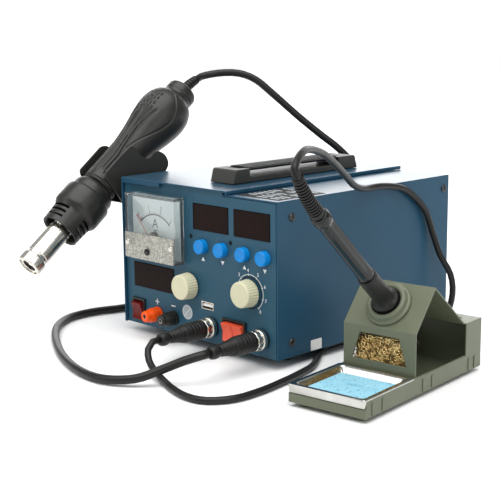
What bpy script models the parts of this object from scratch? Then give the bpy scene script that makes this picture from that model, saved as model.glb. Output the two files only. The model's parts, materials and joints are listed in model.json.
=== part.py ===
"""A bench power supply built as a repair station, with its soldering iron, stand and hot-air gun.

Lengths are in millimetres and angles in degrees. The station frame has X running right along
the front of the case from its left edge, Y running back from the face of the front panel, and
Z running up from the underside of the case. The stand, the iron and the gun each have a frame
of their own. One empty holds them all and puts the origin on the bench, under the middle of
the whole object. Each piece is one closed solid in a named object of its own.
"""

import math

import bmesh
import bpy
from mathutils import Matrix, Vector

MM = 0.001
GAP = 0.3  # clearance between neighbouring pieces
CUT = 1.0  # how far a cutter runs past the face that it cuts

# Overall frame
FOOTPRINT_CENTRE = (132.23, 65.98)
FOOT_HEIGHT = 8.0

# Case
CASE_WIDTH = 188.0
CASE_DEPTH = 220.0
CASE_HEIGHT = 130.0
SHEET = 1.5
PANEL_THICKNESS = 2.0
COVER_FRONT_LIP = 3.0
COVER_LIP_DROP = 5.0
COVER_LIP_WIDTH = 51.0
COVER_STEP_X = 133.7
COVER_STEP_DROP = 3.5
COVER_OVERLAP = 7.0
TRAY_FLANGE_HEIGHT = 10.0
FOOT_RADIUS = 7.0
FOOT_INSET = (22.0, 30.0)

# Panel meter
METER_ORIGIN = (15.7, 62.8)
METER_SIZE = (64.0, 56.0)
METER_DEPTH = 12.0
METER_WALL = 2.0
METER_TRIM_HEIGHT = 22.5
METER_TRIM_THICKNESS = 0.6
METER_PIVOT_HEIGHT = 12.5
DIAL_THICKNESS = 1.0
DIAL_FACE_DEPTH = 8.0
NEEDLE_LENGTH = 37.0
NEEDLE_WIDTH = 0.9
NEEDLE_THICKNESS = 0.6
NEEDLE_HUB_RADIUS = 3.0
NEEDLE_REST_ANGLE = 42.0

# Display windows: lower left corner and size
WINDOWS = {
    "display_window_iron": ((91.0, 94.4), (42.0, 21.6)),
    "display_window_air": ((139.6, 94.4), (40.4, 21.6)),
    "display_window_supply": ((12.0, 34.5), (53.0, 21.5)),
}
WINDOW_PROUD = 0.6

# Push buttons
BUTTON_POSITIONS = {
    "button_iron_up": (102.4, 80.9),
    "button_iron_down": (125.9, 80.9),
    "button_air_up": (151.3, 80.9),
    "button_air_down": (174.2, 80.9),
}
BUTTON_RADIUS = 6.1
BUTTON_PROUD = 6.0
BUTTON_FLANGE_RADIUS = 7.6
BUTTON_FLANGE_THICKNESS = 1.2

# Knobs
KNOB_POSITIONS = {"voltage_knob": (85.7, 45.4), "air_flow_knob": (157.5, 50.6)}
KNOB_RADIUS = 11.4
KNOB_HEIGHT = 11.5
KNOB_STANDOFF = 1.0
KNOB_FLUTES = 18
KNOB_FLUTE_DEPTH = 0.5
KNOB_SHAFT_RADIUS = 3.0
KNOB_SHAFT_REACH = 10.0

# Rocker switches
OUTPUT_SWITCH_CENTRE = (18.2, 13.75)
OUTPUT_SWITCH_SIZE = (16.8, 20.0)
POWER_SWITCH_CENTRE = (139.5, 15.0)
POWER_SWITCH_SIZE = (27.4, 20.4)
SWITCH_BEZEL = 1.9
SWITCH_BEZEL_PROUD = 2.2
SWITCH_RIM = 0.9
SWITCH_BODY_DEPTH = 14.0
ROCKER_PIVOT_DEPTH = 2.0
ROCKER_TILT = 8.0

# Output terminals
TERMINAL_POSITIONS = {"positive": (43.5, 13.6), "negative": (64.3, 13.6)}
TERMINAL_BASE_RADIUS = 6.4
TERMINAL_BASE_HEIGHT = 2.4
TERMINAL_STUD_RADIUS = 2.2
TERMINAL_STUD_LENGTH = 7.5
TERMINAL_CAP_RADIUS = 6.2
TERMINAL_CAP_TIP_RADIUS = 4.9
TERMINAL_CAP_FRONT = 16.4
TERMINAL_SOCKET_RADIUS = 2.0
TERMINAL_TAIL = 9.0

# Charging socket
USB_CENTRE = (107.1, 31.4)
USB_SIZE = (14.6, 6.6)
USB_WALL = 0.8
USB_DEPTH = 12.0

# Round cable plugs
PLUG_POSITIONS = {"iron": (112.0, 14.4), "gun": (171.0, 15.2)}
PLUG_FLANGE_RADIUS = 8.2
PLUG_FLANGE_THICKNESS = 1.4
PLUG_CORE_RADIUS = 6.3
PLUG_TAIL_RADIUS = 5.6
PLUG_TAIL = 9.0
PLUG_RING_RADIUS = 8.7
PLUG_RING_LENGTH = 10.0
PLUG_BOOT_END = 57.0

# Inside and rear
BOARD_X = (12.0, 176.0)
BOARD_Z = (38.0, 116.0)
BOARD_Y = 26.0
BOARD_THICKNESS = 1.6
TRANSFORMER_CORNER = (24.0, 118.0)
TRANSFORMER_CORE = (64.0, 34.0, 54.0)
TRANSFORMER_COIL = (40.0, 60.0, 36.0)
INLET_CENTRE = (140.0, 34.0)
INLET_FLANGE = (34.0, 27.0)
INLET_BODY = (27.0, 19.6)
INLET_CAVITY = (24.0, 16.6)
INLET_DEPTH = 18.0
INLET_BLADE = (2.0, 4.0, 10.0)

# Carrying handle
HANDLE_X = (85.0, 113.0)
HANDLE_Y = (25.0, 182.0)
HANDLE_BAR_HEIGHT = 5.0
HANDLE_END_LENGTH = (20.0, 25.0)
HANDLE_END_HEIGHT = 11.8
STRAP_WIDTH = 24.0
STRAP_THICKNESS = 3.4
STRAP_FINGER_GAP = 4.5
STRAP_TONGUE_WIDTH = 12.0
STRAP_TONGUE_LENGTH = 6.0
STRAP_TONGUE_THICKNESS = 1.8

# Hot-air gun: distances run along its axis from the mouth of the nozzle
GUN_MOUTH = (-28.0, -84.3, 57.7)
GUN_TILT = 38.1
GUN_TUBE_RADIUS = 10.3
GUN_TUBE_WALL = 1.0
GUN_TUBE_LENGTH = 86.0
GUN_NOZZLE_RADIUS = 11.2
GUN_NOZZLE_LENGTH = 11.0
GUN_SHROUD = (43.0, 95.0)
GUN_SHROUD_MOUTH_RADIUS = 17.9
GUN_COLLAR_START = 66.0
GUN_COLLAR_RADIUS = 22.0
GUN_NECK_RADIUS = 16.5
GUN_BULB_RADIUS = 24.4
GUN_BULB_CENTRE = 195.0
GUN_TAIL_RADIUS = 14.6
GUN_TAIL_START = 216.0
GUN_LENGTH = 229.0
GUN_SHELL_WALL = 2.2
GUN_FAN_PLACE = 186.0
GUN_FAN_RADIUS = 17.0
GUN_FAN_DEPTH = 9.0
GUN_FAN_BLADES = 7
GUN_RELIEF_LENGTH = 18.0
GUN_RELIEF_RADII = (5.2, 4.3)
GUN_RELIEF_BEND = -5.0

# Gun holder on the left side of the case
HOLDER_CLEARANCE = 1.3
HOLDER_START = 100.0
HOLDER_FLOOR_END = 137.0
HOLDER_WING_HEIGHT = 15.3
HOLDER_PLATE_Y = (1.0, 46.0)
HOLDER_PLATE_Z = (103.0, 127.0)

# Iron stand: its frame has its origin over the front left corner of the base
STAND_CORNER = (251.3, -54.5)
STAND_TURN = 6.5
STAND_WIDTH = 66.0
STAND_LENGTH = 163.0
STAND_FOOT_HEIGHT = 3.0
STAND_SHEET = 1.2
STAND_SIDE_TOP = 8.0
STAND_FRONT_TOP = 2.0
STAND_BLOCK_LENGTH = 24.0
STAND_BLOCK_TOP = 34.0
HOUSE_FRONT = 67.0
HOUSE_EAVE = 40.5
HOUSE_ROOF_RUN = 26.5
HOUSE_WINDOW_TOP = 35.0
HOUSE_WINDOW_BOTTOM = 14.5
HOUSE_WINDOW_HALF_WIDTHS = (17.0, 23.5)
ROOF_TILT = 48.5
HOLDER_RING_UP_ROOF = 20.0
HOLDER_RING_RADIUS = 18.0
HOLDER_RING_BORE = 11.5
HOLDER_RING_HEIGHT = 6.8
HOLDER_RING_SLEEVE = 8.6
WOOL_DEPTH = 17.0
WOOL_SIDE_INSET = 7.0
WOOL_BACK_TAPER = 10.0
WOOL_TOP = 33.5
TRAY_RIM = 2.5
TRAY_WALL = 0.8
TRAY_DEPTH = 9.0
TRAY_LENGTH = 64.5
SPONGE_SIZE = (50.0, 42.0, 4.5)
SPONGE_HOLE = (13.0, 4.0)

# Soldering iron: distances run along its axis from the roof of the stand
IRON_GUARD_RADIUS = 10.6
IRON_GUARD_LENGTH = 9.5
IRON_GRIP_RADIUS = 7.4
IRON_GRIP_END = 41.0
IRON_HANDLE_RADIUS = 6.3
IRON_HANDLE_END = 121.0
IRON_BARREL_RADIUS = 3.6
IRON_BARREL_LENGTH = 63.0
IRON_RELIEF_LENGTH = 34.0
IRON_RELIEF_RADIUS = 5.4
IRON_RELIEF_BEND = 10.0

# Cords
RELIEF_STEPS = 9
RELIEF_LEAD = 7.0
GUN_CORD_RADIUS = 3.5
IRON_CORD_RADIUS = 2.75

HEAVY_BLUE = ("case_blue", (0.045, 0.105, 0.17), 0.45, 0.0)
COVER_BLUE = ("cover_blue", (0.05, 0.12, 0.19), 0.4, 0.0)
BLACK_STEEL = ("black_steel", (0.02, 0.02, 0.02), 0.45, 0.0)
BLACK_PLASTIC = ("black_plastic", (0.02, 0.02, 0.02), 0.5, 0.0)
GLOSS_BLACK = ("gloss_black", (0.008, 0.008, 0.008), 0.15, 0.0)
BLACK_RUBBER = ("black_rubber", (0.018, 0.018, 0.018), 0.75, 0.0)
CLEAR_PLASTIC = ("clear_plastic", (0.75, 0.8, 0.78), 0.08, 0.0)
DIAL_WHITE = ("dial_white", (0.75, 0.78, 0.75), 0.6, 0.0)
BRUSHED_METAL = ("brushed_metal", (0.6, 0.59, 0.56), 0.35, 1.0)
NICKEL = ("nickel", (0.66, 0.65, 0.62), 0.25, 1.0)
SMOKED_WINDOW = ("smoked_window", (0.02, 0.008, 0.006), 0.1, 0.0)
BUTTON_BLUE = ("button_blue", (0.02, 0.2, 0.65), 0.4, 0.0)
CREAM = ("cream_plastic", (0.7, 0.66, 0.52), 0.5, 0.0)
SIGNAL_RED = ("signal_red", (0.6, 0.03, 0.02), 0.35, 0.0)
DARK_RED = ("dark_red", (0.3, 0.02, 0.02), 0.35, 0.0)
ORANGE = ("orange_plastic", (0.75, 0.13, 0.02), 0.4, 0.0)
STAND_GREEN = ("stand_green", (0.2, 0.22, 0.17), 0.5, 0.0)
STAINLESS = ("stainless", (0.62, 0.61, 0.58), 0.2, 1.0)
SPONGE_BLUE = ("sponge_blue", (0.2, 0.5, 0.65), 0.95, 0.0)
BRASS = ("brass", (0.65, 0.45, 0.14), 0.3, 1.0)
BOARD_GREEN = ("board_green", (0.02, 0.15, 0.05), 0.5, 0.0)
LAMINATION = ("lamination", (0.15, 0.15, 0.16), 0.5, 1.0)


# ---------------------------------------------------------------- building tools


def clear_scene():
    """Remove whatever objects the scene starts with."""
    for item in list(bpy.data.objects):
        bpy.data.objects.remove(item, do_unlink=True)


def material(finish):
    """Return the Principled material that a finish describes, made once."""
    name, colour, roughness, metallic = finish
    found = bpy.data.materials.get(name)
    if found:
        return found
    made = bpy.data.materials.new(name)
    made.use_nodes = True
    shader = made.node_tree.nodes["Principled BSDF"]
    shader.inputs["Base Color"].default_value = (*colour, 1.0)
    shader.inputs["Roughness"].default_value = roughness
    shader.inputs["Metallic"].default_value = metallic
    return made


def frame(name, parent=None, place=(0.0, 0.0, 0.0), tilt=0.0, turn=0.0):
    """Add an empty that pieces are placed in: tilt is about X and turn about Z."""
    empty = bpy.data.objects.new(name, None)
    bpy.context.collection.objects.link(empty)
    empty.parent = parent
    empty.location = Vector(place) * MM
    empty.rotation_euler = (math.radians(tilt), 0.0, math.radians(turn))
    return empty


def box(x, y, z):
    """A block between two values along each axis."""
    corners = [(a, b, c) for c in z for a, b in ((x[0], y[0]), (x[1], y[0]), (x[1], y[1]), (x[0], y[1]))]
    faces = [(3, 2, 1, 0), (4, 5, 6, 7), (0, 1, 5, 4), (1, 2, 6, 5), (2, 3, 7, 6), (3, 0, 4, 7)]
    return corners, faces


def lift(axis, flat, along):
    """Put a point of a drawing at a distance along the axis that it is drawn across."""
    if axis == "X":
        return (along, flat[0], flat[1])
    if axis == "Y":
        return (flat[0], along, flat[1])
    return (flat[0], flat[1], along)


def prism(axis, outline, span):
    """Extrude a flat outline along an axis."""
    count = len(outline)
    points = [lift(axis, flat, along) for along in span for flat in outline]
    faces = [tuple(range(count)), tuple(range(2 * count - 1, count - 1, -1))]
    for i in range(count):
        j = (i + 1) % count
        faces.append((i, i + count, j + count, j))
    return points, faces


def turned(axis, centre, profile, sides, ripple=None):
    """Turn a profile of (radius, distance) round an axis through a centre.

    A profile that starts and ends at radius 0 is solid, and any other closes on itself.
    """
    points = []
    rings = []
    for radius, along in profile:
        if radius == 0.0:
            rings.append([len(points)] * sides)
            points.append(lift(axis, centre, along))
            continue
        rings.append(list(range(len(points), len(points) + sides)))
        for k in range(sides):
            angle = 2.0 * math.pi * k / sides
            reach = radius - (ripple(angle, radius) if ripple else 0.0)
            flat = (centre[0] + reach * math.cos(angle), centre[1] + reach * math.sin(angle))
            points.append(lift(axis, flat, along))
    solid = profile[0][0] == 0.0
    pairs = list(zip(rings, rings[1:])) if solid else list(zip(rings, rings[1:] + rings[:1]))
    faces = []
    for low, high in pairs:
        for k in range(sides):
            m = (k + 1) % sides
            loop = [low[k], low[m], high[m], high[k]]
            faces.append(tuple(dict.fromkeys(loop)))
    return points, faces


def half_turned(axis, centre, profile, steps, start):
    """Turn a closed profile of (radius, distance) through half a turn, with flat ends."""
    points = []
    count = len(profile)
    for k in range(steps + 1):
        angle = math.radians(start) + math.pi * k / steps
        for radius, along in profile:
            flat = (centre[0] + radius * math.cos(angle), centre[1] + radius * math.sin(angle))
            points.append(lift(axis, flat, along))
    faces = [tuple(range(count)), tuple(range((steps + 1) * count - 1, steps * count - 1, -1))]
    for k in range(steps):
        for i in range(count):
            j = (i + 1) % count
            low = k * count
            high = low + count
            faces.append((low + i, low + j, high + j, high + i))
    return points, faces


def bent_sheet(path, thickness):
    """The outline of a sheet that follows a path, with its thickness on the right of it."""
    inner = []
    last = len(path) - 1
    for i, point in enumerate(path):
        before = Vector(path[i]) - Vector(path[i - 1]) if i > 0 else None
        after = Vector(path[i + 1]) - Vector(path[i]) if i < last else None
        ways = [way.normalized() for way in (before, after) if way is not None]
        normals = [Vector((way.y, -way.x)) for way in ways]
        middle = sum(normals, Vector((0.0, 0.0))).normalized()
        reach = thickness / middle.dot(normals[0])
        inner.append(tuple(Vector(point) + middle * reach))
    return list(path) + inner[::-1]


def moved(lump, matrix):
    """Place a lump by a matrix."""
    points, faces = lump
    return [tuple(matrix @ Vector(point)) for point in points], faces


def rectangle(centre, size):
    """The two pairs of edges of a rectangle drawn round a centre."""
    return (
        (centre[0] - size[0] / 2, centre[0] + size[0] / 2),
        (centre[1] - size[1] / 2, centre[1] + size[1] / 2),
    )


def mesh_object(name, lumps, parent, at):
    """Make an object from lumps given in its parent's frame, with its own origin at a point."""
    points = []
    faces = []
    for lump_points, lump_faces in lumps:
        start = len(points)
        points += [(Vector(point) - Vector(at)) * MM for point in lump_points]
        faces += [tuple(start + i for i in face) for face in lump_faces]
    mesh = bpy.data.meshes.new(name)
    mesh.from_pydata(points, [], faces)
    face_out(mesh)
    item = bpy.data.objects.new(name, mesh)
    bpy.context.collection.objects.link(item)
    item.parent = parent
    item.location = Vector(at) * MM
    return item


def face_out(mesh):
    """Turn every face of a closed mesh outward."""
    work = bmesh.new()
    work.from_mesh(mesh)
    bmesh.ops.recalc_face_normals(work, faces=work.faces)
    work.to_mesh(mesh)
    work.free()


def combine(item, other, operation):
    """Join another object to this one, or cut it away, with an exact Boolean."""
    other.hide_render = True
    other.display_type = "WIRE"
    step = item.modifiers.new(operation.lower(), "BOOLEAN")
    step.operation = operation
    step.solver = "EXACT"
    step.object = other


def piece(name, finish, parent, base, add=(), cut=(), at=(0.0, 0.0, 0.0), sharp=35.0):
    """Make one named piece: a base lump, lumps joined to it, then groups of lumps cut away."""
    item = mesh_object(name, [base], parent, at)
    for i, lump in enumerate(add):
        combine(item, mesh_object(f"{name}_join_{i}", [lump], parent, at), "UNION")
    for i, group in enumerate(cut):
        combine(item, mesh_object(f"{name}_cut_{i}", group, parent, at), "DIFFERENCE")
    item.data.materials.append(material(finish))
    item.data.shade_smooth()
    item.data.set_sharp_from_angle(angle=math.radians(sharp))
    return item


def smooth_route(route, spacing, lowest):
    """Points at about even spacing on a smooth curve through a route, none of them too low."""
    marks = [Vector(point) for point in route]
    ends = [marks[0] * 2 - marks[1]] + marks + [marks[-1] * 2 - marks[-2]]
    points = []
    for a, b, c, d in zip(ends, ends[1:], ends[2:], ends[3:]):
        steps = max(1, round((c - b).length / spacing))
        for i in range(steps):
            t = i / steps
            push = (c - a) * t + (a * 2 - b * 5 + c * 4 - d) * t**2 + (b * 3 - a - c * 3 + d) * t**3
            point = b + push / 2
            point.z = max(point.z, lowest)
            points.append(point)
    return points + [marks[-1]]


def tube(name, finish, parent, points, radii, sides_level=2):
    """A round bar along points: one radius, or one for each point."""
    curve = bpy.data.curves.new(name, "CURVE")
    curve.dimensions = "3D"
    curve.bevel_mode = "ROUND"
    curve.bevel_depth = MM
    curve.bevel_resolution = sides_level
    curve.use_fill_caps = True
    line = curve.splines.new("POLY")
    line.points.add(len(points) - 1)
    for spot, point, radius in zip(line.points, points, radii):
        spot.co = (*(Vector(point) * MM), 1.0)
        spot.radius = radius
    curve.materials.append(material(finish))
    item = bpy.data.objects.new(name, curve)
    bpy.context.collection.objects.link(item)
    item.parent = parent
    return item


# ---------------------------------------------------------------- case


def strip_top():
    """Height of the lower strip of the case top, right of the step."""
    return CASE_HEIGHT - COVER_STEP_DROP


def cover_strip_start():
    """Where the right cover's top begins, hidden under the raised cover."""
    return COVER_STEP_X - COVER_OVERLAP


def build_base_tray(station):
    """The floor of the case, bent up along both sides inside the covers."""
    inside = SHEET + GAP
    path = [
        (inside, TRAY_FLANGE_HEIGHT),
        (inside, 0.0),
        (CASE_WIDTH - inside, 0.0),
        (CASE_WIDTH - inside, TRAY_FLANGE_HEIGHT),
    ]
    outline = bent_sheet(path[::-1], SHEET)
    span = (PANEL_THICKNESS + GAP, CASE_DEPTH - SHEET - GAP)
    piece("base_tray", HEAVY_BLUE, station, prism("Y", outline, span))


def build_covers(station):
    """A raised left cover with its side, and a right cover whose top runs under its edge."""
    left_path = [
        (0.0, 0.0),
        (0.0, CASE_HEIGHT),
        (COVER_STEP_X, CASE_HEIGHT),
        (COVER_STEP_X, strip_top() + GAP),
    ]
    span = (-COVER_FRONT_LIP, CASE_DEPTH)
    lip = box(
        (SHEET / 2, COVER_LIP_WIDTH),
        (-COVER_FRONT_LIP, -COVER_FRONT_LIP + SHEET),
        (CASE_HEIGHT - COVER_LIP_DROP, CASE_HEIGHT - SHEET / 2),
    )
    side_and_top = prism("Y", bent_sheet(left_path, SHEET), span)
    piece("left_top_cover", COVER_BLUE, station, side_and_top, add=[lip])

    right_path = [
        (cover_strip_start(), strip_top()),
        (CASE_WIDTH, strip_top()),
        (CASE_WIDTH, 0.0),
    ]
    piece(
        "right_cover",
        COVER_BLUE,
        station,
        prism("Y", bent_sheet(right_path, SHEET), (0.0, CASE_DEPTH)),
    )


def wall_outline():
    """The outline that fits inside the covers, for the front and the rear panel."""
    inside = SHEET + GAP
    low_top = strip_top() - inside
    step_x = cover_strip_start() - GAP
    return [
        (inside, GAP),
        (CASE_WIDTH - inside, GAP),
        (CASE_WIDTH - inside, low_top),
        (step_x, low_top),
        (step_x, CASE_HEIGHT - inside),
        (inside, CASE_HEIGHT - inside),
    ]


def round_hole(centre, radius, span, sides=24):
    """A round cutter along Y."""
    return turned("Y", centre, [(0.0, span[0]), (radius, span[0]), (radius, span[1]), (0.0, span[1])], sides)


def square_hole(centre, size, span):
    """A rectangular cutter along Y."""
    x, z = rectangle(centre, size)
    return box(x, span, z)


def build_front_panel(station):
    """The front panel, with a hole for each control that fits its own size."""
    span = (-CUT, PANEL_THICKNESS + CUT)
    holes = []
    for corner, size in WINDOWS.values():
        centre = (corner[0] + size[0] / 2, corner[1] + size[1] / 2)
        holes.append(square_hole(centre, (size[0] + 2 * GAP, size[1] + 2 * GAP), span))
    for centre in BUTTON_POSITIONS.values():
        holes.append(round_hole(centre, BUTTON_RADIUS + GAP, span))
    for centre in KNOB_POSITIONS.values():
        holes.append(round_hole(centre, KNOB_SHAFT_RADIUS + GAP, span, 16))
    for centre, size in switch_places():
        body = switch_body_size(size)
        holes.append(square_hole(centre, (body[0] + 2 * GAP, body[1] + 2 * GAP), span))
    for centre in TERMINAL_POSITIONS.values():
        holes.append(round_hole(centre, TERMINAL_STUD_RADIUS + GAP, span, 16))
    for centre in PLUG_POSITIONS.values():
        holes.append(round_hole(centre, PLUG_TAIL_RADIUS + GAP, span))
    holes.append(square_hole(USB_CENTRE, (USB_SIZE[0] + 2 * GAP, USB_SIZE[1] + 2 * GAP), span))
    plate = prism("Y", wall_outline(), (0.0, PANEL_THICKNESS))
    piece("front_panel", HEAVY_BLUE, station, plate, cut=[holes])


def build_rear_panel(station):
    """The rear panel, with the cut-out that takes the mains inlet."""
    span = (CASE_DEPTH - SHEET, CASE_DEPTH)
    hole = square_hole(
        INLET_CENTRE,
        (INLET_BODY[0] + 2 * GAP, INLET_BODY[1] + 2 * GAP),
        (span[0] - CUT, span[1] + CUT),
    )
    piece("rear_panel", HEAVY_BLUE, station, prism("Y", wall_outline(), span), cut=[[hole]])


def build_case_feet(station):
    """Four rubber feet under the case."""
    inset_x, inset_y = FOOT_INSET
    corners = {
        "front_left": (inset_x, inset_y),
        "front_right": (CASE_WIDTH - inset_x, inset_y),
        "rear_left": (inset_x, CASE_DEPTH - inset_y),
        "rear_right": (CASE_WIDTH - inset_x, CASE_DEPTH - inset_y),
    }
    profile = [
        (0.0, -GAP),
        (FOOT_RADIUS, -GAP),
        (FOOT_RADIUS - 1.0, -FOOT_HEIGHT),
        (0.0, -FOOT_HEIGHT),
    ]
    for corner, centre in corners.items():
        piece(f"foot_{corner}", BLACK_RUBBER, station, turned("Z", centre, profile, 16))


def build_inside(station):
    """The mains transformer and the control board behind the front panel."""
    x0, y0 = TRANSFORMER_CORNER
    core_x, core_y, core_z = TRANSFORMER_CORE
    coil_x, coil_y, coil_z = TRANSFORMER_COIL
    floor = SHEET + GAP
    middle_x = x0 + core_x / 2
    middle_y = y0 + core_y / 2
    coil_low = floor + (core_z - coil_z) / 2
    core = box((x0, x0 + core_x), (y0, y0 + core_y), (floor, floor + core_z))
    coil = box(
        (middle_x - coil_x / 2, middle_x + coil_x / 2),
        (middle_y - coil_y / 2, middle_y + coil_y / 2),
        (coil_low, coil_low + coil_z),
    )
    piece("transformer", LAMINATION, station, core, add=[coil])
    board = box(BOARD_X, (BOARD_Y, BOARD_Y + BOARD_THICKNESS), BOARD_Z)
    piece("control_board", BOARD_GREEN, station, board)


def build_mains_inlet(station):
    """A flanged mains inlet with three blades in an open cavity at the rear."""
    rear = CASE_DEPTH
    flange_x, flange_z = rectangle(INLET_CENTRE, INLET_FLANGE)
    body_x, body_z = rectangle(INLET_CENTRE, INLET_BODY)
    cavity_x, cavity_z = rectangle(INLET_CENTRE, INLET_CAVITY)
    face = rear + GAP + 2.5
    back = rear - INLET_DEPTH
    width, height, length = INLET_BLADE
    blades = []
    for dx, dz in ((-7.0, -2.0), (7.0, -2.0), (0.0, 2.0)):
        blade_x, blade_z = rectangle((INLET_CENTRE[0] + dx, INLET_CENTRE[1] + dz), (width, height))
        blades.append(box(blade_x, (back + 1.0, back + 2.0 + length), blade_z))
    piece(
        "mains_inlet",
        BLACK_PLASTIC,
        station,
        box(flange_x, (rear + GAP, face), flange_z),
        add=[box(body_x, (back, rear + GAP + 1.0), body_z)],
        cut=[[box(cavity_x, (back + 2.0, face + CUT), cavity_z)]],
    )
    inlet = bpy.data.objects["mains_inlet"]
    for i, blade in enumerate(blades):
        combine(inlet, mesh_object(f"mains_inlet_blade_{i}", [blade], station, (0.0, 0.0, 0.0)), "UNION")


def build_handle(station):
    """A base bar with two end blocks, and the strap that is held between them."""
    top = CASE_HEIGHT + GAP
    y0, y1 = HANDLE_Y
    front_end = y0 + HANDLE_END_LENGTH[0]
    rear_end = y1 - HANDLE_END_LENGTH[1]
    bar_top = top + HANDLE_BAR_HEIGHT
    block_top = top + HANDLE_END_HEIGHT
    strap_low = bar_top + STRAP_FINGER_GAP
    strap_top = strap_low + STRAP_THICKNESS
    tongue_top = strap_low + STRAP_TONGUE_THICKNESS
    taper = 3.0
    side = [
        (y0, top),
        (y0 + taper, block_top - 1.0),
        (y0 + taper + 1.5, block_top),
        (front_end, block_top),
        (front_end, bar_top),
        (rear_end, bar_top),
        (rear_end, block_top),
        (y1 - taper - 1.5, block_top),
        (y1 - taper, block_top - 1.0),
        (y1, top),
    ]
    middle = sum(HANDLE_X) / 2
    slot_half = STRAP_TONGUE_WIDTH / 2 + GAP
    slots = [
        box(
            (middle - slot_half, middle + slot_half),
            (end - STRAP_TONGUE_LENGTH - GAP, end + STRAP_TONGUE_LENGTH + GAP),
            (strap_low - GAP, block_top + CUT),
        )
        for end in (front_end, rear_end)
    ]
    piece("handle_base", BLACK_PLASTIC, station, prism("X", side, HANDLE_X), cut=[slots])
    strap = box(
        (middle - STRAP_WIDTH / 2, middle + STRAP_WIDTH / 2),
        (front_end + GAP, rear_end - GAP),
        (strap_low, strap_top),
    )
    tongue = box(
        (middle - STRAP_TONGUE_WIDTH / 2, middle + STRAP_TONGUE_WIDTH / 2),
        (front_end - STRAP_TONGUE_LENGTH, rear_end + STRAP_TONGUE_LENGTH),
        (strap_low, tongue_top),
    )
    at = (middle, (front_end + rear_end) / 2, strap_low)
    piece("handle_strap", BLACK_RUBBER, station, strap, add=[tongue], at=at)


# ---------------------------------------------------------------- front panel pieces


def build_meter(station):
    """A moving-coil meter: clear case open at the back, trim, dial and needle."""
    x0, z0 = METER_ORIGIN
    width, height = METER_SIZE
    x1 = x0 + width
    z1 = z0 + height
    wall = METER_WALL
    case = box((x0, x1), (-METER_DEPTH, -GAP), (z0, z1))
    hollow = box(
        (x0 + wall, x1 - wall),
        (-METER_DEPTH + wall, CUT),
        (z0 + wall, z1 - wall),
    )
    piece("meter_case", CLEAR_PLASTIC, station, case, cut=[[hollow]])
    trim_back = -METER_DEPTH - GAP
    trim = box((x0, x1), (trim_back - METER_TRIM_THICKNESS, trim_back), (z0, z0 + METER_TRIM_HEIGHT))
    piece("meter_trim", BRUSHED_METAL, station, trim)
    fit = wall + GAP
    dial_y = (-METER_DEPTH + DIAL_FACE_DEPTH, -METER_DEPTH + DIAL_FACE_DEPTH + DIAL_THICKNESS)
    dial = box((x0 + fit, x1 - fit), dial_y, (z0 + fit, z1 - fit))
    piece("meter_dial", DIAL_WHITE, station, dial)
    pivot = (x0 + width / 2, z0 + METER_PIVOT_HEIGHT)
    hub_front = dial_y[0] - GAP - 3.0
    hub = turned(
        "Y",
        pivot,
        [
            (0.0, hub_front),
            (NEEDLE_HUB_RADIUS, hub_front),
            (NEEDLE_HUB_RADIUS, dial_y[0] - GAP),
            (0.0, dial_y[0] - GAP),
        ],
        14,
    )
    arm = box(
        (-NEEDLE_WIDTH / 2, NEEDLE_WIDTH / 2),
        (hub_front + 0.6, hub_front + 0.6 + NEEDLE_THICKNESS),
        (0.0, NEEDLE_LENGTH),
    )
    place = Matrix.Translation((pivot[0], 0.0, pivot[1]))
    lean = Matrix.Rotation(math.radians(-NEEDLE_REST_ANGLE), 4, "Y")
    piece(
        "meter_needle",
        DARK_RED,
        station,
        hub,
        add=[moved(arm, place @ lean)],
        at=(pivot[0], dial_y[0], pivot[1]),
    )


def build_windows(station):
    """The three smoked display windows, standing just proud of the panel."""
    for name, (corner, size) in WINDOWS.items():
        plate = box(
            (corner[0], corner[0] + size[0]),
            (-WINDOW_PROUD, PANEL_THICKNESS),
            (corner[1], corner[1] + size[1]),
        )
        piece(name, SMOKED_WINDOW, station, plate)


def build_buttons(station):
    """Four round push buttons, each held in by a flange behind the panel."""
    flange_front = PANEL_THICKNESS + GAP
    flange_back = flange_front + BUTTON_FLANGE_THICKNESS
    profile = [
        (0.0, -BUTTON_PROUD),
        (BUTTON_RADIUS - 1.2, -BUTTON_PROUD),
        (BUTTON_RADIUS, -BUTTON_PROUD + 1.0),
        (BUTTON_RADIUS, flange_front),
        (BUTTON_FLANGE_RADIUS, flange_front),
        (BUTTON_FLANGE_RADIUS, flange_back),
        (0.0, flange_back),
    ]
    for name, centre in BUTTON_POSITIONS.items():
        at = (centre[0], 0.0, centre[1])
        piece(name, BUTTON_BLUE, station, turned("Y", centre, profile, 24), at=at)


def flute(angle, radius):
    """How far a knob's surface is cut in at an angle: grooves on its skirt only."""
    if radius < KNOB_RADIUS - 1.0:
        return 0.0
    return KNOB_FLUTE_DEPTH * (1.0 + math.cos(KNOB_FLUTES * angle)) / 2.0


def build_knobs(station):
    """Two fluted knobs, each moulded round its control's shaft."""
    base = -KNOB_STANDOFF
    front = base - KNOB_HEIGHT
    profile = [
        (0.0, front),
        (KNOB_RADIUS - 1.6, front),
        (KNOB_RADIUS - 0.5, front + 1.2),
        (KNOB_RADIUS, base),
        (KNOB_SHAFT_RADIUS, base),
        (KNOB_SHAFT_RADIUS, KNOB_SHAFT_REACH),
        (0.0, KNOB_SHAFT_REACH),
    ]
    for name, centre in KNOB_POSITIONS.items():
        at = (centre[0], 0.0, centre[1])
        knob = turned("Y", centre, profile, KNOB_FLUTES * 2, flute)
        piece(name, CREAM, station, knob, at=at, sharp=50.0)


def switch_places():
    """Centre and outside size of each rocker switch."""
    return [
        (OUTPUT_SWITCH_CENTRE, OUTPUT_SWITCH_SIZE),
        (POWER_SWITCH_CENTRE, POWER_SWITCH_SIZE),
    ]


def switch_body_size(size):
    """The part of a switch that goes through the panel, inside its bezel."""
    return (size[0] - 2 * SWITCH_BEZEL + 1.8, size[1] - 2 * SWITCH_BEZEL + 1.8)


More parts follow.
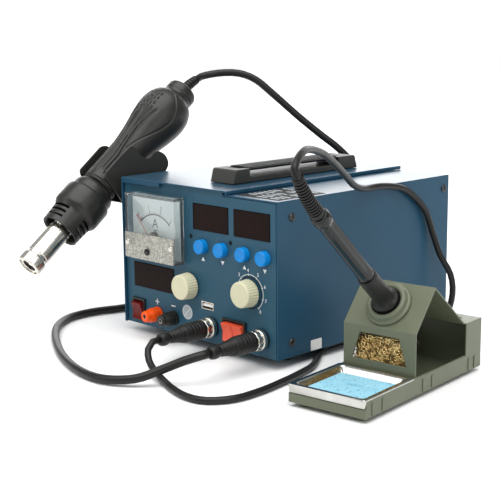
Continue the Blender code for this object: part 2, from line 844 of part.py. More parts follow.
def switch_opening(size):
    """The opening of a switch that its rockers sit in."""
    body = switch_body_size(size)
    return (body[0] - 2 * SWITCH_RIM, body[1] - 2 * SWITCH_RIM)


def build_switch_body(station, name, centre, size):
    """A bezel with a box behind it, open at the front."""
    bezel_x, bezel_z = rectangle(centre, size)
    body_x, body_z = rectangle(centre, switch_body_size(size))
    open_x, open_z = rectangle(centre, switch_opening(size))
    bezel = box(bezel_x, (-SWITCH_BEZEL_PROUD, -GAP), bezel_z)
    body = box(body_x, (-1.0, SWITCH_BODY_DEPTH), body_z)
    hollow = box(open_x, (-SWITCH_BEZEL_PROUD - CUT, SWITCH_BODY_DEPTH - SWITCH_RIM), open_z)
    piece(name, BLACK_PLASTIC, station, bezel, add=[body], cut=[[hollow]])


def build_rocker(station, name, finish, centre, width, height):
    """A rocker with two slanting faces, resting with its lower end pressed in."""
    half = height / 2
    pivot = ROCKER_PIVOT_DEPTH
    side = [
        (pivot - 7.0, -half),
        (pivot - 5.2, 0.0),
        (pivot - 7.0, half),
        (pivot - 0.5, half - 0.3),
        (pivot + 4.0, half * 0.4),
        (pivot + 4.0, -half * 0.4),
        (pivot - 0.5, -half + 0.3),
    ]
    bar = prism("X", [(y - pivot, z) for y, z in side], (-width / 2, width / 2))
    rest = Matrix.Rotation(math.radians(ROCKER_TILT), 4, "X")
    place = Matrix.Translation((centre[0], pivot, centre[1]))
    at = (centre[0], pivot, centre[1])
    piece(name, finish, station, moved(bar, place @ rest), at=at)


def build_switches(station):
    """The output switch with one rocker, and the power switch with two side by side."""
    build_switch_body(station, "output_switch_body", OUTPUT_SWITCH_CENTRE, OUTPUT_SWITCH_SIZE)
    build_switch_body(station, "power_switch_body", POWER_SWITCH_CENTRE, POWER_SWITCH_SIZE)
    clear = 2.0 * GAP
    width, height = switch_opening(OUTPUT_SWITCH_SIZE)
    build_rocker(
        station,
        "output_rocker",
        DARK_RED,
        OUTPUT_SWITCH_CENTRE,
        width - 2 * GAP,
        height - 2 * clear,
    )
    width, height = switch_opening(POWER_SWITCH_SIZE)
    each = (width - 3 * GAP) / 2
    for name, way in (("power_rocker_left", -1), ("power_rocker_right", 1)):
        centre = (POWER_SWITCH_CENTRE[0] + way * (each + GAP) / 2, POWER_SWITCH_CENTRE[1])
        build_rocker(station, name, SIGNAL_RED, centre, each, height - 2 * clear)


def build_terminals(station):
    """Two output terminals: a collar with a threaded stud, and a cap that unscrews along it."""
    colours = {"positive": ORANGE, "negative": BLACK_PLASTIC}
    collar_front = -GAP - TERMINAL_BASE_HEIGHT
    stud_front = collar_front - TERMINAL_STUD_LENGTH
    cap_back = collar_front - GAP
    cap_front = -TERMINAL_CAP_FRONT
    bore = TERMINAL_STUD_RADIUS + GAP
    base_profile = [
        (0.0, stud_front),
        (TERMINAL_STUD_RADIUS, stud_front),
        (TERMINAL_STUD_RADIUS, collar_front),
        (TERMINAL_BASE_RADIUS, collar_front),
        (TERMINAL_BASE_RADIUS, -GAP),
        (TERMINAL_STUD_RADIUS, -GAP),
        (TERMINAL_STUD_RADIUS, TERMINAL_TAIL),
        (0.0, TERMINAL_TAIL),
    ]
    cap_profile = [
        (TERMINAL_SOCKET_RADIUS, cap_front),
        (TERMINAL_CAP_TIP_RADIUS - 0.7, cap_front),
        (TERMINAL_CAP_TIP_RADIUS, cap_front + 0.8),
        (TERMINAL_CAP_RADIUS, cap_back - 4.0),
        (TERMINAL_CAP_RADIUS, cap_back),
        (bore, cap_back),
        (bore, stud_front - 2 * GAP),
        (TERMINAL_SOCKET_RADIUS, stud_front - 2 * GAP),
    ]
    for sign, centre in TERMINAL_POSITIONS.items():
        base = turned("Y", centre, base_profile, 20)
        cap = turned("Y", centre, cap_profile, 20)
        piece(f"terminal_base_{sign}", colours[sign], station, base)
        piece(f"terminal_cap_{sign}", colours[sign], station, cap, at=(centre[0], cap_back, centre[1]))


def build_usb_socket(station):
    """The charging socket: a metal shell with its contact tongue."""
    outer_x, outer_z = rectangle(USB_CENTRE, USB_SIZE)
    inner_x, inner_z = rectangle(USB_CENTRE, (USB_SIZE[0] - 2 * USB_WALL, USB_SIZE[1] - 2 * USB_WALL))
    shell = box(outer_x, (-GAP, USB_DEPTH), outer_z)
    hollow_low = box(inner_x, (-GAP - CUT, USB_DEPTH - USB_WALL), inner_z)
    tongue = box(
        (inner_x[0] + 0.8, inner_x[1] - 0.8),
        (1.0, USB_DEPTH - USB_WALL / 2),
        (USB_CENTRE[1] + 0.1, USB_CENTRE[1] + 1.7),
    )
    piece("usb_socket", BRUSHED_METAL, station, shell, cut=[[hollow_low]])
    socket = bpy.data.objects["usb_socket"]
    tongue_item = mesh_object("usb_socket_tongue", [tongue], station, (0.0, 0.0, 0.0))
    combine(socket, tongue_item, "UNION")


def build_plugs(station):
    """Two round plugs in their panel sockets, each with its moulded boot and coupling ring."""
    flange_front = -GAP - PLUG_FLANGE_THICKNESS
    ring_back = flange_front - GAP
    ring_front = ring_back - PLUG_RING_LENGTH
    boot_back = ring_front - GAP
    end = -PLUG_BOOT_END
    plug_profile = [
        (0.0, end),
        (4.4, end),
        (5.4, end + 1.6),
        (5.4, end + 7.0),
        (4.6, end + 8.5),
        (5.6, end + 17.0),
        (7.6, end + 26.0),
        (8.0, boot_back - 6.0),
        (8.0, boot_back),
        (PLUG_CORE_RADIUS, boot_back),
        (PLUG_CORE_RADIUS, flange_front),
        (PLUG_FLANGE_RADIUS, flange_front),
        (PLUG_FLANGE_RADIUS, -GAP),
        (PLUG_TAIL_RADIUS, -GAP),
        (PLUG_TAIL_RADIUS, PLUG_TAIL),
        (0.0, PLUG_TAIL),
    ]
    bore = PLUG_CORE_RADIUS + GAP
    ring_profile = [
        (bore, ring_front),
        (PLUG_RING_RADIUS - 0.7, ring_front),
        (PLUG_RING_RADIUS, ring_front + 0.7),
        (PLUG_RING_RADIUS, ring_back - 0.5),
        (PLUG_RING_RADIUS - 0.5, ring_back),
        (bore, ring_back),
    ]
    for tool, centre in PLUG_POSITIONS.items():
        plug = turned("Y", centre, plug_profile, 20)
        ring = turned("Y", centre, ring_profile, 24)
        piece(f"{tool}_plug", BLACK_RUBBER, station, plug)
        piece(f"{tool}_plug_ring", NICKEL, station, ring, at=(centre[0], ring_back, centre[1]))


def bent_relief(axis, start, length, bend, ends):
    """Points and radii of a strain relief that bends evenly away from its tool's axis."""
    points = []
    radii = []
    for i in range(RELIEF_STEPS + 1):
        share = i / RELIEF_STEPS
        along = start + GAP + length * share
        aside = bend * share**2 / 2
        points.append((0.0, along, aside) if axis == "Y" else (0.0, aside, along))
        radii.append(ends[0] + (ends[1] - ends[0]) * share)
    return points, radii


def relief_exit(tool, axis, start, length, bend):
    """Two points in the station frame where a cord leaves its bent strain relief."""
    bpy.context.view_layer.update()
    home = bpy.data.objects["station"].matrix_world.inverted()
    points, _ = bent_relief(axis, start, length, bend, (1.0, 1.0))
    way = (Vector(points[-1]) - Vector(points[-2])).normalized()
    ends = []
    for ahead in (GAP, RELIEF_LEAD):
        local = (Vector(points[-1]) + way * ahead) * MM
        ends.append(tuple(home @ tool.matrix_world @ local / MM))
    return ends


# ---------------------------------------------------------------- hot-air gun


def gun_point(along, up):
    """The (y, z) in the station frame of a point at a distance along the gun and above its axis."""
    lean = math.radians(GUN_TILT)
    y = GUN_MOUTH[1] + along * math.cos(lean) - up * math.sin(lean)
    z = GUN_MOUTH[2] + along * math.sin(lean) + up * math.cos(lean)
    return (y, z)


def build_gun_holder(station):
    """A black steel bracket on the left side: a plate, a trough floor and two wings."""
    half = GUN_NECK_RADIUS + HOLDER_CLEARANCE
    floor_low = -half - SHEET
    near_wing = (GUN_MOUTH[0] + half, GUN_MOUTH[0] + half + SHEET)
    far_wing = (GUN_MOUTH[0] - half - SHEET, GUN_MOUTH[0] - half)
    start = HOLDER_START
    top = HOLDER_WING_HEIGHT
    mouth = [(start, floor_low), (start, top - 2.3), (start + 2.5, top)]
    far_outline = mouth + [
        (start + 34.0, top),
        (start + 40.0, top - 5.0),
        (start + 40.0, floor_low),
    ]
    near_outline = mouth + [
        (start + 24.0, top),
        (start + 41.0, top - 4.5),
        (start + 43.0, 2.0),
        (start + 46.5, -7.0),
        (start + 52.0, -10.0),
        (start + 58.0, -12.5),
        (start + 63.0, -19.0),
        (start + 63.0, -27.0),
        (start + 58.0, -31.0),
        (start + 47.0, -31.0),
        (start + 37.0, floor_low),
    ]
    floor_outline = [
        (start, floor_low),
        (start, -half),
        (HOLDER_FLOOR_END, -half),
        (HOLDER_FLOOR_END, floor_low),
    ]
    plate_x = (-GAP - SHEET, -GAP)
    plate_y = HOLDER_PLATE_Y
    plate_z = HOLDER_PLATE_Z
    floor_span = (far_wing[0] + SHEET / 2, plate_x[1] - SHEET / 2)
    lumps = [
        prism("X", [gun_point(*flat) for flat in near_outline], near_wing),
        prism("X", [gun_point(*flat) for flat in far_outline], far_wing),
        prism("X", [gun_point(*flat) for flat in floor_outline], floor_span),
    ]
    piece("gun_holder", BLACK_STEEL, station, box(plate_x, plate_y, plate_z), add=lumps)


def gun_body_profile(inset):
    """The outside of the gun's body from neck to tail, drawn in by an inset."""
    start = GUN_SHROUD[1] + GAP
    rise = GUN_BULB_RADIUS - GUN_NECK_RADIUS
    stations = [
        (GUN_NECK_RADIUS, start),
        (GUN_NECK_RADIUS, start + 48.0),
        (GUN_NECK_RADIUS + 0.35 * rise, GUN_BULB_CENTRE - 32.0),
        (GUN_NECK_RADIUS + 0.7 * rise, GUN_BULB_CENTRE - 19.0),
        (GUN_BULB_RADIUS - 0.5, GUN_BULB_CENTRE - 8.0),
        (GUN_BULB_RADIUS, GUN_BULB_CENTRE),
        (GUN_BULB_RADIUS - 1.2, GUN_BULB_CENTRE + 9.0),
        (GUN_BULB_RADIUS - 4.4, GUN_BULB_CENTRE + 16.0),
        (GUN_TAIL_RADIUS, GUN_TAIL_START + 2.0),
        (GUN_TAIL_RADIUS, GUN_LENGTH - 2.0),
        (GUN_TAIL_RADIUS - 2.0, GUN_LENGTH),
    ]
    return [(radius - inset, along - (inset if along > GUN_BULB_CENTRE else 0.0)) for radius, along in stations]


def build_gun(gun):
    """The hot-air gun: two shells, the shroud, the heater tube, its fan and the cord relief."""
    outer = gun_body_profile(0.0)
    inner = gun_body_profile(GUN_SHELL_WALL)
    shell = outer + [(GUN_SHELL_WALL, GUN_LENGTH)] + [(GUN_SHELL_WALL, inner[-1][1])] + inner[::-1]
    seam = GAP / 2
    for name, start, way in (("gun_shell_right", -90.0, 1), ("gun_shell_left", 90.0, -1)):
        half = half_turned("Y", (way * seam, 0.0), shell, 12, start)
        piece(name, BLACK_PLASTIC, gun, half)

    front, rear = GUN_SHROUD
    collar = GUN_COLLAR_START
    wall = 2.2
    tube_bore = GUN_TUBE_RADIUS + GAP
    shroud_profile = [
        (GUN_SHROUD_MOUTH_RADIUS - wall, front),
        (GUN_SHROUD_MOUTH_RADIUS, front),
        (GUN_COLLAR_RADIUS - 0.9, collar),
        (GUN_COLLAR_RADIUS, collar + 1.0),
        (GUN_COLLAR_RADIUS, rear - 5.0),
        (GUN_COLLAR_RADIUS - 2.6, rear - 1.0),
        (GUN_NECK_RADIUS + 1.0, rear),
        (tube_bore, rear),
        (tube_bore, rear - 14.0),
        (GUN_COLLAR_RADIUS - 2.0 * wall, rear - 18.0),
        (GUN_COLLAR_RADIUS - 1.4 * wall, collar),
    ]
    piece("gun_shroud", BLACK_PLASTIC, gun, turned("Y", (0.0, 0.0), shroud_profile, 28))

    bore = GUN_TUBE_RADIUS - GUN_TUBE_WALL
    tube_profile = [
        (bore, 0.0),
        (GUN_NOZZLE_RADIUS - 0.6, 0.0),
        (GUN_NOZZLE_RADIUS, 0.6),
        (GUN_NOZZLE_RADIUS, GUN_NOZZLE_LENGTH),
        (GUN_TUBE_RADIUS, GUN_NOZZLE_LENGTH + 0.4),
        (GUN_TUBE_RADIUS, GUN_TUBE_LENGTH),
        (bore, GUN_TUBE_LENGTH),
    ]
    piece("gun_heater_tube", NICKEL, gun, turned("Y", (0.0, 0.0), tube_profile, 24))

    points, radii = bent_relief("Y", GUN_LENGTH, GUN_RELIEF_LENGTH, GUN_RELIEF_BEND, GUN_RELIEF_RADII)
    tube("gun_strain_relief", BLACK_RUBBER, gun, points, radii, 3)
    build_gun_fan(gun)


def build_gun_fan(gun):
    """The fan in the gun's body that drives the air: a hub with straight blades."""
    low = GUN_FAN_PLACE
    high = low + GUN_FAN_DEPTH
    hub_radius = GUN_FAN_RADIUS * 0.4
    hub_profile = [(0.0, low), (hub_radius, low), (hub_radius, high), (0.0, high)]
    blades = []
    for k in range(GUN_FAN_BLADES):
        spin = Matrix.Rotation(2.0 * math.pi * k / GUN_FAN_BLADES, 4, "Y")
        blade = box((hub_radius - 1.0, GUN_FAN_RADIUS), (low + 1.0, high - 1.0), (-0.6, 0.6))
        blades.append(moved(blade, spin))
    hub = turned("Y", (0.0, 0.0), hub_profile, 21)
    piece("gun_fan", BLACK_PLASTIC, gun, hub, add=blades, at=(0.0, low, 0.0))


# ---------------------------------------------------------------- stand and iron


def house_ridge():
    """The ridge of the stand's roof, as (y, z) in the stand frame."""
    rise = HOUSE_ROOF_RUN * math.tan(math.radians(ROOF_TILT))
    return (HOUSE_FRONT + HOUSE_ROOF_RUN, HOUSE_EAVE + rise)


def roof_point():
    """Where the iron's axis meets the stand's sloping roof, as (y, z) in the stand frame."""
    lean = math.radians(ROOF_TILT)
    return (
        HOUSE_FRONT + HOLDER_RING_UP_ROOF * math.cos(lean),
        HOUSE_EAVE + HOLDER_RING_UP_ROOF * math.sin(lean),
    )


def build_stand_base(stand):
    """A pan of folded sheet on four short feet, with a raised block at the rear."""
    low = -FOOT_HEIGHT + STAND_FOOT_HEIGHT
    wall = STAND_SHEET
    width = STAND_WIDTH
    length = STAND_LENGTH
    pan = box((0.0, width), (0.0, length), (low, STAND_SIDE_TOP))
    inside = box((wall, width - wall), (wall, length - wall), (low + wall, STAND_BLOCK_TOP - wall))
    front_notch = box((-CUT, width + CUT), (-CUT, wall), (STAND_FRONT_TOP, STAND_SIDE_TOP + CUT))
    block_start = length - STAND_BLOCK_LENGTH
    block = box((0.0, width), (block_start, length), (STAND_SIDE_TOP - CUT, STAND_BLOCK_TOP))
    block_hole = turned(
        "Z",
        (width * 0.78, length - STAND_BLOCK_LENGTH / 2),
        [
            (0.0, STAND_BLOCK_TOP - 2 * wall),
            (3.0, STAND_BLOCK_TOP - 2 * wall),
            (3.0, STAND_BLOCK_TOP + CUT),
            (0.0, STAND_BLOCK_TOP + CUT),
        ],
        14,
    )
    feet = []
    for x in (9.0, width - 9.0):
        for y in (9.0, length - 9.0):
            foot = [(0.0, low + wall / 2), (5.0, low + wall / 2), (4.2, -FOOT_HEIGHT), (0.0, -FOOT_HEIGHT)]
            feet.append(turned("Z", (x, y), foot, 12))
    piece(
        "stand_base",
        STAND_GREEN,
        stand,
        pan,
        add=[block] + feet,
        cut=[[inside], [front_notch], [block_hole]],
    )


def build_housing(stand):
    """The folded sheet that holds the iron: a front with a window and a roof of two slopes."""
    floor = -FOOT_HEIGHT + STAND_FOOT_HEIGHT + STAND_SHEET + GAP
    rear = STAND_LENGTH - STAND_BLOCK_LENGTH - GAP
    path = [
        (HOUSE_FRONT, floor),
        (HOUSE_FRONT, HOUSE_EAVE),
        house_ridge(),
        (rear, STAND_BLOCK_TOP),
    ]
    inset = STAND_SHEET + GAP
    sheet = prism("X", bent_sheet(path, STAND_SHEET), (inset, STAND_WIDTH - inset))
    middle = STAND_WIDTH / 2
    narrow, wide = HOUSE_WINDOW_HALF_WIDTHS
    outline = [
        (middle - narrow, HOUSE_WINDOW_TOP),
        (middle + narrow, HOUSE_WINDOW_TOP),
        (middle + wide, HOUSE_WINDOW_BOTTOM),
        (middle - wide, HOUSE_WINDOW_BOTTOM),
    ]
    window = prism("Y", outline, (HOUSE_FRONT - CUT, HOUSE_FRONT + STAND_SHEET + CUT))
    place = Matrix.Translation((STAND_WIDTH / 2, *roof_point()))
    tilt = Matrix.Rotation(math.radians(ROOF_TILT), 4, "X")
    radius = HOLDER_RING_SLEEVE
    hole = turned("Z", (0.0, 0.0), [(0.0, -4.0), (radius, -4.0), (radius, 4.0), (0.0, 4.0)], 24)
    piece(
        "stand_housing",
        STAND_GREEN,
        stand,
        sheet,
        cut=[[window], [moved(hole, place @ tilt)]],
    )


def build_holder_ring(iron):
    """The flanged ring on the roof that the iron's finger guard rests in."""
    bore = HOLDER_RING_BORE
    outer = HOLDER_RING_RADIUS
    top = HOLDER_RING_HEIGHT
    profile = [
        (bore, GAP),
        (outer, GAP),
        (outer, 2.2),
        (outer - 1.6, 3.0),
        (outer - 2.6, top - 1.0),
        (outer - 3.6, top),
        (bore + 0.8, top),
        (bore, top - 1.0),
    ]
    piece("iron_holder_ring", STAND_GREEN, iron, turned("Z", (0.0, 0.0), profile, 28))


def build_tray_and_sponge(stand):
    """The loose steel tray at the front of the stand, and the sponge that lies in it."""
    rim_low = STAND_SIDE_TOP + GAP
    rim_top = rim_low + TRAY_WALL
    inset = STAND_SHEET + GAP + 0.5
    floor_low = rim_top - TRAY_DEPTH
    wall = TRAY_WALL
    x = (inset, STAND_WIDTH - inset)
    y = (inset, TRAY_LENGTH - inset)
    pan = box(x, y, (floor_low, rim_top))
    rim = box((0.0, STAND_WIDTH), (-1.2, TRAY_LENGTH), (rim_low, rim_top))
    skirt = box((0.6, STAND_WIDTH - 0.6), (-1.2, -1.2 + wall), (STAND_FRONT_TOP + 0.6, rim_top - wall / 2))
    well = box(
        (x[0] + TRAY_RIM, x[1] - TRAY_RIM),
        (y[0] + TRAY_RIM, y[1] - TRAY_RIM),
        (floor_low + wall, rim_top + CUT),
    )
    piece("sponge_tray", STAINLESS, stand, pan, add=[rim, skirt], cut=[[well]])

    long_x, long_y, thick = SPONGE_SIZE
    centre = (STAND_WIDTH / 2, TRAY_LENGTH / 2 + 1.0)
    sponge_x, sponge_y = rectangle(centre, (long_x, long_y))
    low = floor_low + wall + GAP
    hole_x, hole_y = rectangle(centre, SPONGE_HOLE)
    piece(
        "sponge",
        SPONGE_BLUE,
        stand,
        box(sponge_x, sponge_y, (low, low + thick)),
        cut=[[box(hole_x, hole_y, (low - CUT, low + thick + CUT))]],
    )


def build_brass_wool(stand):
    """The pad of brass wool behind the window of the stand."""
    floor = -FOOT_HEIGHT + STAND_FOOT_HEIGHT + STAND_SHEET + GAP
    front = HOUSE_FRONT + STAND_SHEET + GAP
    back = front + WOOL_DEPTH
    left = WOOL_SIDE_INSET
    right = STAND_WIDTH - WOOL_SIDE_INSET
    plan = [
        (left, front),
        (right, front),
        (right - WOOL_BACK_TAPER, back),
        (left + WOOL_BACK_TAPER, back),
    ]
    piece("brass_wool", BRASS, stand, prism("Z", plan, (floor, WOOL_TOP)))


def build_iron(iron):
    """The soldering iron: barrel with its tip, grip with its guard, handle and cord relief."""
    guard = IRON_GUARD_LENGTH
    grip_profile = [
        (0.0, GAP),
        (IRON_GUARD_RADIUS - 0.8, GAP),
        (IRON_GUARD_RADIUS, 1.4),
        (IRON_GUARD_RADIUS, guard - 0.8),
        (IRON_GUARD_RADIUS - 1.0, guard),
        (IRON_GRIP_RADIUS + 0.6, guard + 1.6),
        (IRON_GRIP_RADIUS, guard + 6.0),
        (IRON_GRIP_RADIUS, IRON_GRIP_END - 0.8),
        (IRON_GRIP_RADIUS - 0.8, IRON_GRIP_END),
        (0.0, IRON_GRIP_END),
    ]
    piece("iron_grip", BLACK_RUBBER, iron, turned("Z", (0.0, 0.0), grip_profile, 20))

    radius = IRON_HANDLE_RADIUS
    start = IRON_GRIP_END + GAP
    handle_profile = [
        (0.0, start),
        (radius, start),
        (radius, IRON_HANDLE_END - 10.0),
        (radius + 0.7, IRON_HANDLE_END - 8.5),
        (radius + 0.2, IRON_HANDLE_END - 0.5),
        (radius - 0.4, IRON_HANDLE_END),
        (0.0, IRON_HANDLE_END),
    ]
    piece("iron_handle", GLOSS_BLACK, iron, turned("Z", (0.0, 0.0), handle_profile, 20))

    barrel = IRON_BARREL_RADIUS
    tip = -IRON_BARREL_LENGTH
    barrel_profile = [
        (0.0, tip),
        (0.5, tip + 0.3),
        (2.2, tip + 9.0),
        (2.2, tip + 16.0),
        (barrel, tip + 17.0),
        (barrel, -12.0),
        (barrel + 1.8, -11.0),
        (barrel + 1.8, 0.0),
        (0.0, 0.0),
    ]
    piece("iron_barrel", STAINLESS, iron, turned("Z", (0.0, 0.0), barrel_profile, 16))

    ends = (IRON_RELIEF_RADIUS, IRON_RELIEF_RADIUS - 1.4)
    points, radii = bent_relief("Z", IRON_HANDLE_END, IRON_RELIEF_LENGTH, IRON_RELIEF_BEND, ends)
    tube("iron_strain_relief", BLACK_RUBBER, iron, points, radii, 3)


# ---------------------------------------------------------------- cords


def gun_cord_route(gun):
    """From the gun's tail over the top, down behind the case, round the left side to its plug."""
    exits = relief_exit(gun, "Y", GUN_LENGTH, GUN_RELIEF_LENGTH, GUN_RELIEF_BEND)
    plug_x, plug_z = PLUG_POSITIONS["gun"]
    floor = GUN_CORD_RADIUS - FOOT_HEIGHT
    return exits + [
        (-24.5, 129.0, 213.2),
        (-17.0, 139.6, 214.4),
        (-8.0, 151.0, 213.4),
        (3.0, 162.0, 207.0),
        (17.0, 174.0, 191.5),
        (32.0, 190.0, 172.0),
        (47.0, 204.3, 155.0),
        (60.0, 216.5, 141.0),
        (67.5, 227.5, 126.0),
        (72.0, 234.0, 104.0),
        (73.0, 238.0, 74.0),
        (70.0, 243.0, 40.0),
        (62.0, 248.0, 14.0),
        (44.0, 254.0, floor + 1.0),
        (12.0, 256.0, floor),
        (-20.0, 246.0, floor),
        (-42.0, 220.0, floor),
        (-50.0, 182.0, floor),
        (-50.0, 140.0, floor),
        (-48.0, 96.0, floor),
        (-50.0, 62.0, floor),
        (-55.0, 34.0, floor),
        (-63.0, 6.0, floor),
        (-59.0, -24.0, floor),
        (-33.0, -55.0, floor),
        (23.0, -91.0, floor),
        (74.0, -112.0, floor),
        (112.0, -116.0, floor + 0.4),
        (137.0, -103.0, floor + 2.6),
        (150.0, -87.0, 4.5),
        (161.5, -74.5, 11.0),
        (plug_x, -PLUG_BOOT_END - RELIEF_LEAD, plug_z),
        (plug_x, -PLUG_BOOT_END - GAP, plug_z),
    ]


def iron_cord_route(iron):
    """From the iron's tail over the case edge, down behind the stand, round it to its plug."""
    exits = relief_exit(iron, "Z", IRON_HANDLE_END, IRON_RELIEF_LENGTH, IRON_RELIEF_BEND)
    plug_x, plug_z = PLUG_POSITIONS["iron"]
    floor = IRON_CORD_RADIUS - FOOT_HEIGHT
    return exits + [
        (283.5, -79.0, 173.5),
        (277.0, -66.5, 177.5),
        (268.0, -50.0, 177.0),
        (253.3, -21.6, 171.0),
        (238.0, 7.5, 160.8),
        (219.8, 42.0, 146.2),
        (205.0, 70.0, 134.0),
        (193.0, 97.0, 127.4),
        (191.2, 122.0, 126.6),
        (191.2, 147.0, 122.6),
        (191.4, 164.0, 114.0),
        (192.0, 181.0, 99.0),
        (193.0, 191.0, 78.0),
        (197.0, 197.0, 58.0),
        (203.0, 205.0, 40.0),
        (205.0, 206.0, 22.0),
        (204.0, 199.0, 5.0),
        (198.0, 186.0, floor + 1.0),
        (188.0, 168.0, floor),
        (179.0, 144.0, floor),
        (175.0, 112.0, floor),
        (174.0, 86.0, floor),
        (176.0, 66.0, floor),
        (187.0, 49.0, floor),
        (203.0, 24.0, floor),
        (210.0, 2.0, floor),
        (215.0, -22.0, floor),
        (219.0, -51.0, floor),
        (218.0, -76.0, floor),
        (207.0, -93.0, floor),
        (190.0, -97.0, floor),
        (168.0, -92.0, floor),
        (148.0, -84.0, floor + 0.3),
        (132.5, -79.5, -1.8),
        (121.0, -75.5, 3.2),
        (114.0, -70.5, 9.8),
        (plug_x, -PLUG_BOOT_END - RELIEF_LEAD, plug_z),
        (plug_x, -PLUG_BOOT_END - GAP, plug_z),
    ]


def build_cords(station, gun, iron):
    """The two cords, each a smooth tube through its own route."""
    for name, route, radius, spacing in (
        ("gun_cord", gun_cord_route(gun), GUN_CORD_RADIUS, 17.0),
        ("iron_cord", iron_cord_route(iron), IRON_CORD_RADIUS, 13.0),
    ):
        points = smooth_route(route, spacing, radius - FOOT_HEIGHT)
        tube(name, BLACK_RUBBER, station, points, [radius] * len(points))
        length = sum((b - a).length for a, b in zip(points, points[1:]))
        print(f"{name}: {length:.0f} mm long in {len(points)} points")


def main():
    clear_scene()
    shift = (-FOOTPRINT_CENTRE[0], -FOOTPRINT_CENTRE[1], FOOT_HEIGHT)
    station = frame("station", place=shift)
    gun = frame("gun", station, GUN_MOUTH, tilt=GUN_TILT)
    stand = frame("stand", station, (*STAND_CORNER, 0.0), turn=STAND_TURN)
    iron = frame("iron", stand, (STAND_WIDTH / 2, *roof_point()), tilt=ROOF_TILT)

    build_base_tray(station)
    build_covers(station)
    build_front_panel(station)
    build_rear_panel(station)
    build_case_feet(station)
    build_inside(station)
    build_mains_inlet(station)
    build_handle(station)

    build_meter(station)
    build_windows(station)
    build_buttons(station)
    build_knobs(station)
    build_switches(station)
    build_terminals(station)
    build_usb_socket(station)
    build_plugs(station)

    build_gun_holder(station)
    build_gun(gun)

    build_stand_base(stand)
    build_housing(stand)
    build_holder_ring(iron)
    build_tray_and_sponge(stand)
    build_brass_wool(stand)
    build_iron(iron)

    build_cords(station, gun, iron)


main()
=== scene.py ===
# %% [markdown]
# # A bench power supply with its hot-air gun and soldering iron
# This lesson dresses a finished set of solids for a picture. The solids give every size and
# every joint. Each step here either gives a solid a better finish, or puts a more detailed piece
# in its place. Sizes are written in millimetres in the station's own frame: X runs right along
# the front panel, Y goes back from the panel's face, and Z goes up from the case's underside.

# %% Load the solids and note their box
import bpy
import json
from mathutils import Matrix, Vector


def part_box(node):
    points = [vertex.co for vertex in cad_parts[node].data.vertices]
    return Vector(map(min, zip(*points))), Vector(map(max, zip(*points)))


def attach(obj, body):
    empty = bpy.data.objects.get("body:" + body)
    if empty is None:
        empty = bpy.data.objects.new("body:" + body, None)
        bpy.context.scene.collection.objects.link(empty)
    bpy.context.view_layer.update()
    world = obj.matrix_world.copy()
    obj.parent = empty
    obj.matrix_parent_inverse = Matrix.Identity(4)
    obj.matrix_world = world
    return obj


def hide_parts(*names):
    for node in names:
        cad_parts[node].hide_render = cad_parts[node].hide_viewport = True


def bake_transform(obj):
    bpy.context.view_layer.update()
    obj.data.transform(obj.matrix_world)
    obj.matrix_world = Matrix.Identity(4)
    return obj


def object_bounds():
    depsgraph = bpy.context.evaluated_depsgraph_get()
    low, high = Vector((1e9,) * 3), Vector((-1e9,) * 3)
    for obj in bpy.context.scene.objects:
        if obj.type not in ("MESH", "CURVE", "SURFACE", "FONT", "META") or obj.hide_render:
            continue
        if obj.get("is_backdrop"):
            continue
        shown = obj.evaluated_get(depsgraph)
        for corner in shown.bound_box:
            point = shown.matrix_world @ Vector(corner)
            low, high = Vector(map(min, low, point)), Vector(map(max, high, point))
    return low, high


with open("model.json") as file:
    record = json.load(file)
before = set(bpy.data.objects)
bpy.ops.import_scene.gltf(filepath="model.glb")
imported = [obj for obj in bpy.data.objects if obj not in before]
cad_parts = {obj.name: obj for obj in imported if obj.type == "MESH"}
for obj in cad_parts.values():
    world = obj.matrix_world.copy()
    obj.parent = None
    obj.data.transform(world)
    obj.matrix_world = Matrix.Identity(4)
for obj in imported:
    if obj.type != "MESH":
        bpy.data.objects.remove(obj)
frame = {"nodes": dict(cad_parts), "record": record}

import json
import math
import random

import bmesh
import bpy
from mathutils import Matrix, Vector

CAD_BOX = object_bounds()

# %% [markdown]
# ## Frames
# The gun hangs tilted in its holder, the stand is turned a little on the bench, and the iron
# leans in the stand. A matrix for each lets a piece be drawn upright in its own millimetres and
# then be carried to its place. The other way, working out slanted coordinates by hand, hides
# the sizes.

# %% Frames of the station, gun, stand and iron
MM = 0.001
CASE_CORNER = (-0.13223, -0.06598, 0.008)
GUN_NOZZLE, GUN_TILT = (-28.0, -84.3, 57.7), 38.1
STAND_CORNER, STAND_TURN, STAND_WIDTH = (251.3, -54.5, 0.0), 6.5, 66.0
HOUSE_FRONT, HOUSE_EAVE, ROOF_TILT = 67.0, 40.5, 48.5
RING_UP_ROOF = 20.0


def placed(parent, spot, tilt=0.0, turn=0.0):
    """A frame at a spot in its parent, turned about Z and then tilted about X."""
    lean = Matrix.Rotation(math.radians(tilt), 4, "X")
    yaw = Matrix.Rotation(math.radians(turn), 4, "Z")
    return parent @ Matrix.Translation(spot) @ yaw @ lean


roof = math.radians(ROOF_TILT)
roof_y = HOUSE_FRONT + RING_UP_ROOF * math.cos(roof)
roof_z = HOUSE_EAVE + RING_UP_ROOF * math.sin(roof)
STATION = Matrix.Translation(CASE_CORNER) @ Matrix.Scale(MM, 4)
GUN = placed(STATION, GUN_NOZZLE, tilt=GUN_TILT)
STAND = placed(STATION, STAND_CORNER, turn=STAND_TURN)
IRON = placed(STAND, (STAND_WIDTH / 2, roof_y, roof_z), tilt=ROOF_TILT)
print("the iron leaves the roof at", [round(v, 4) for v in IRON.translation])

# %% [markdown]
# ## Camera
# A long lens from the front right corner, a little above the case, shows the panel and the
# right side together with little perspective. The eye point, in metres, and three angles give the
# camera's axes directly, which is steadier than aiming it at a target by constraint.

# %% Camera
EYE = Vector((0.67352, -0.69982, 0.27141))
LENS, SENSOR = 84.24, 36.0
YAW, PITCH, ROLL = -0.79647, -0.19401, -0.00901


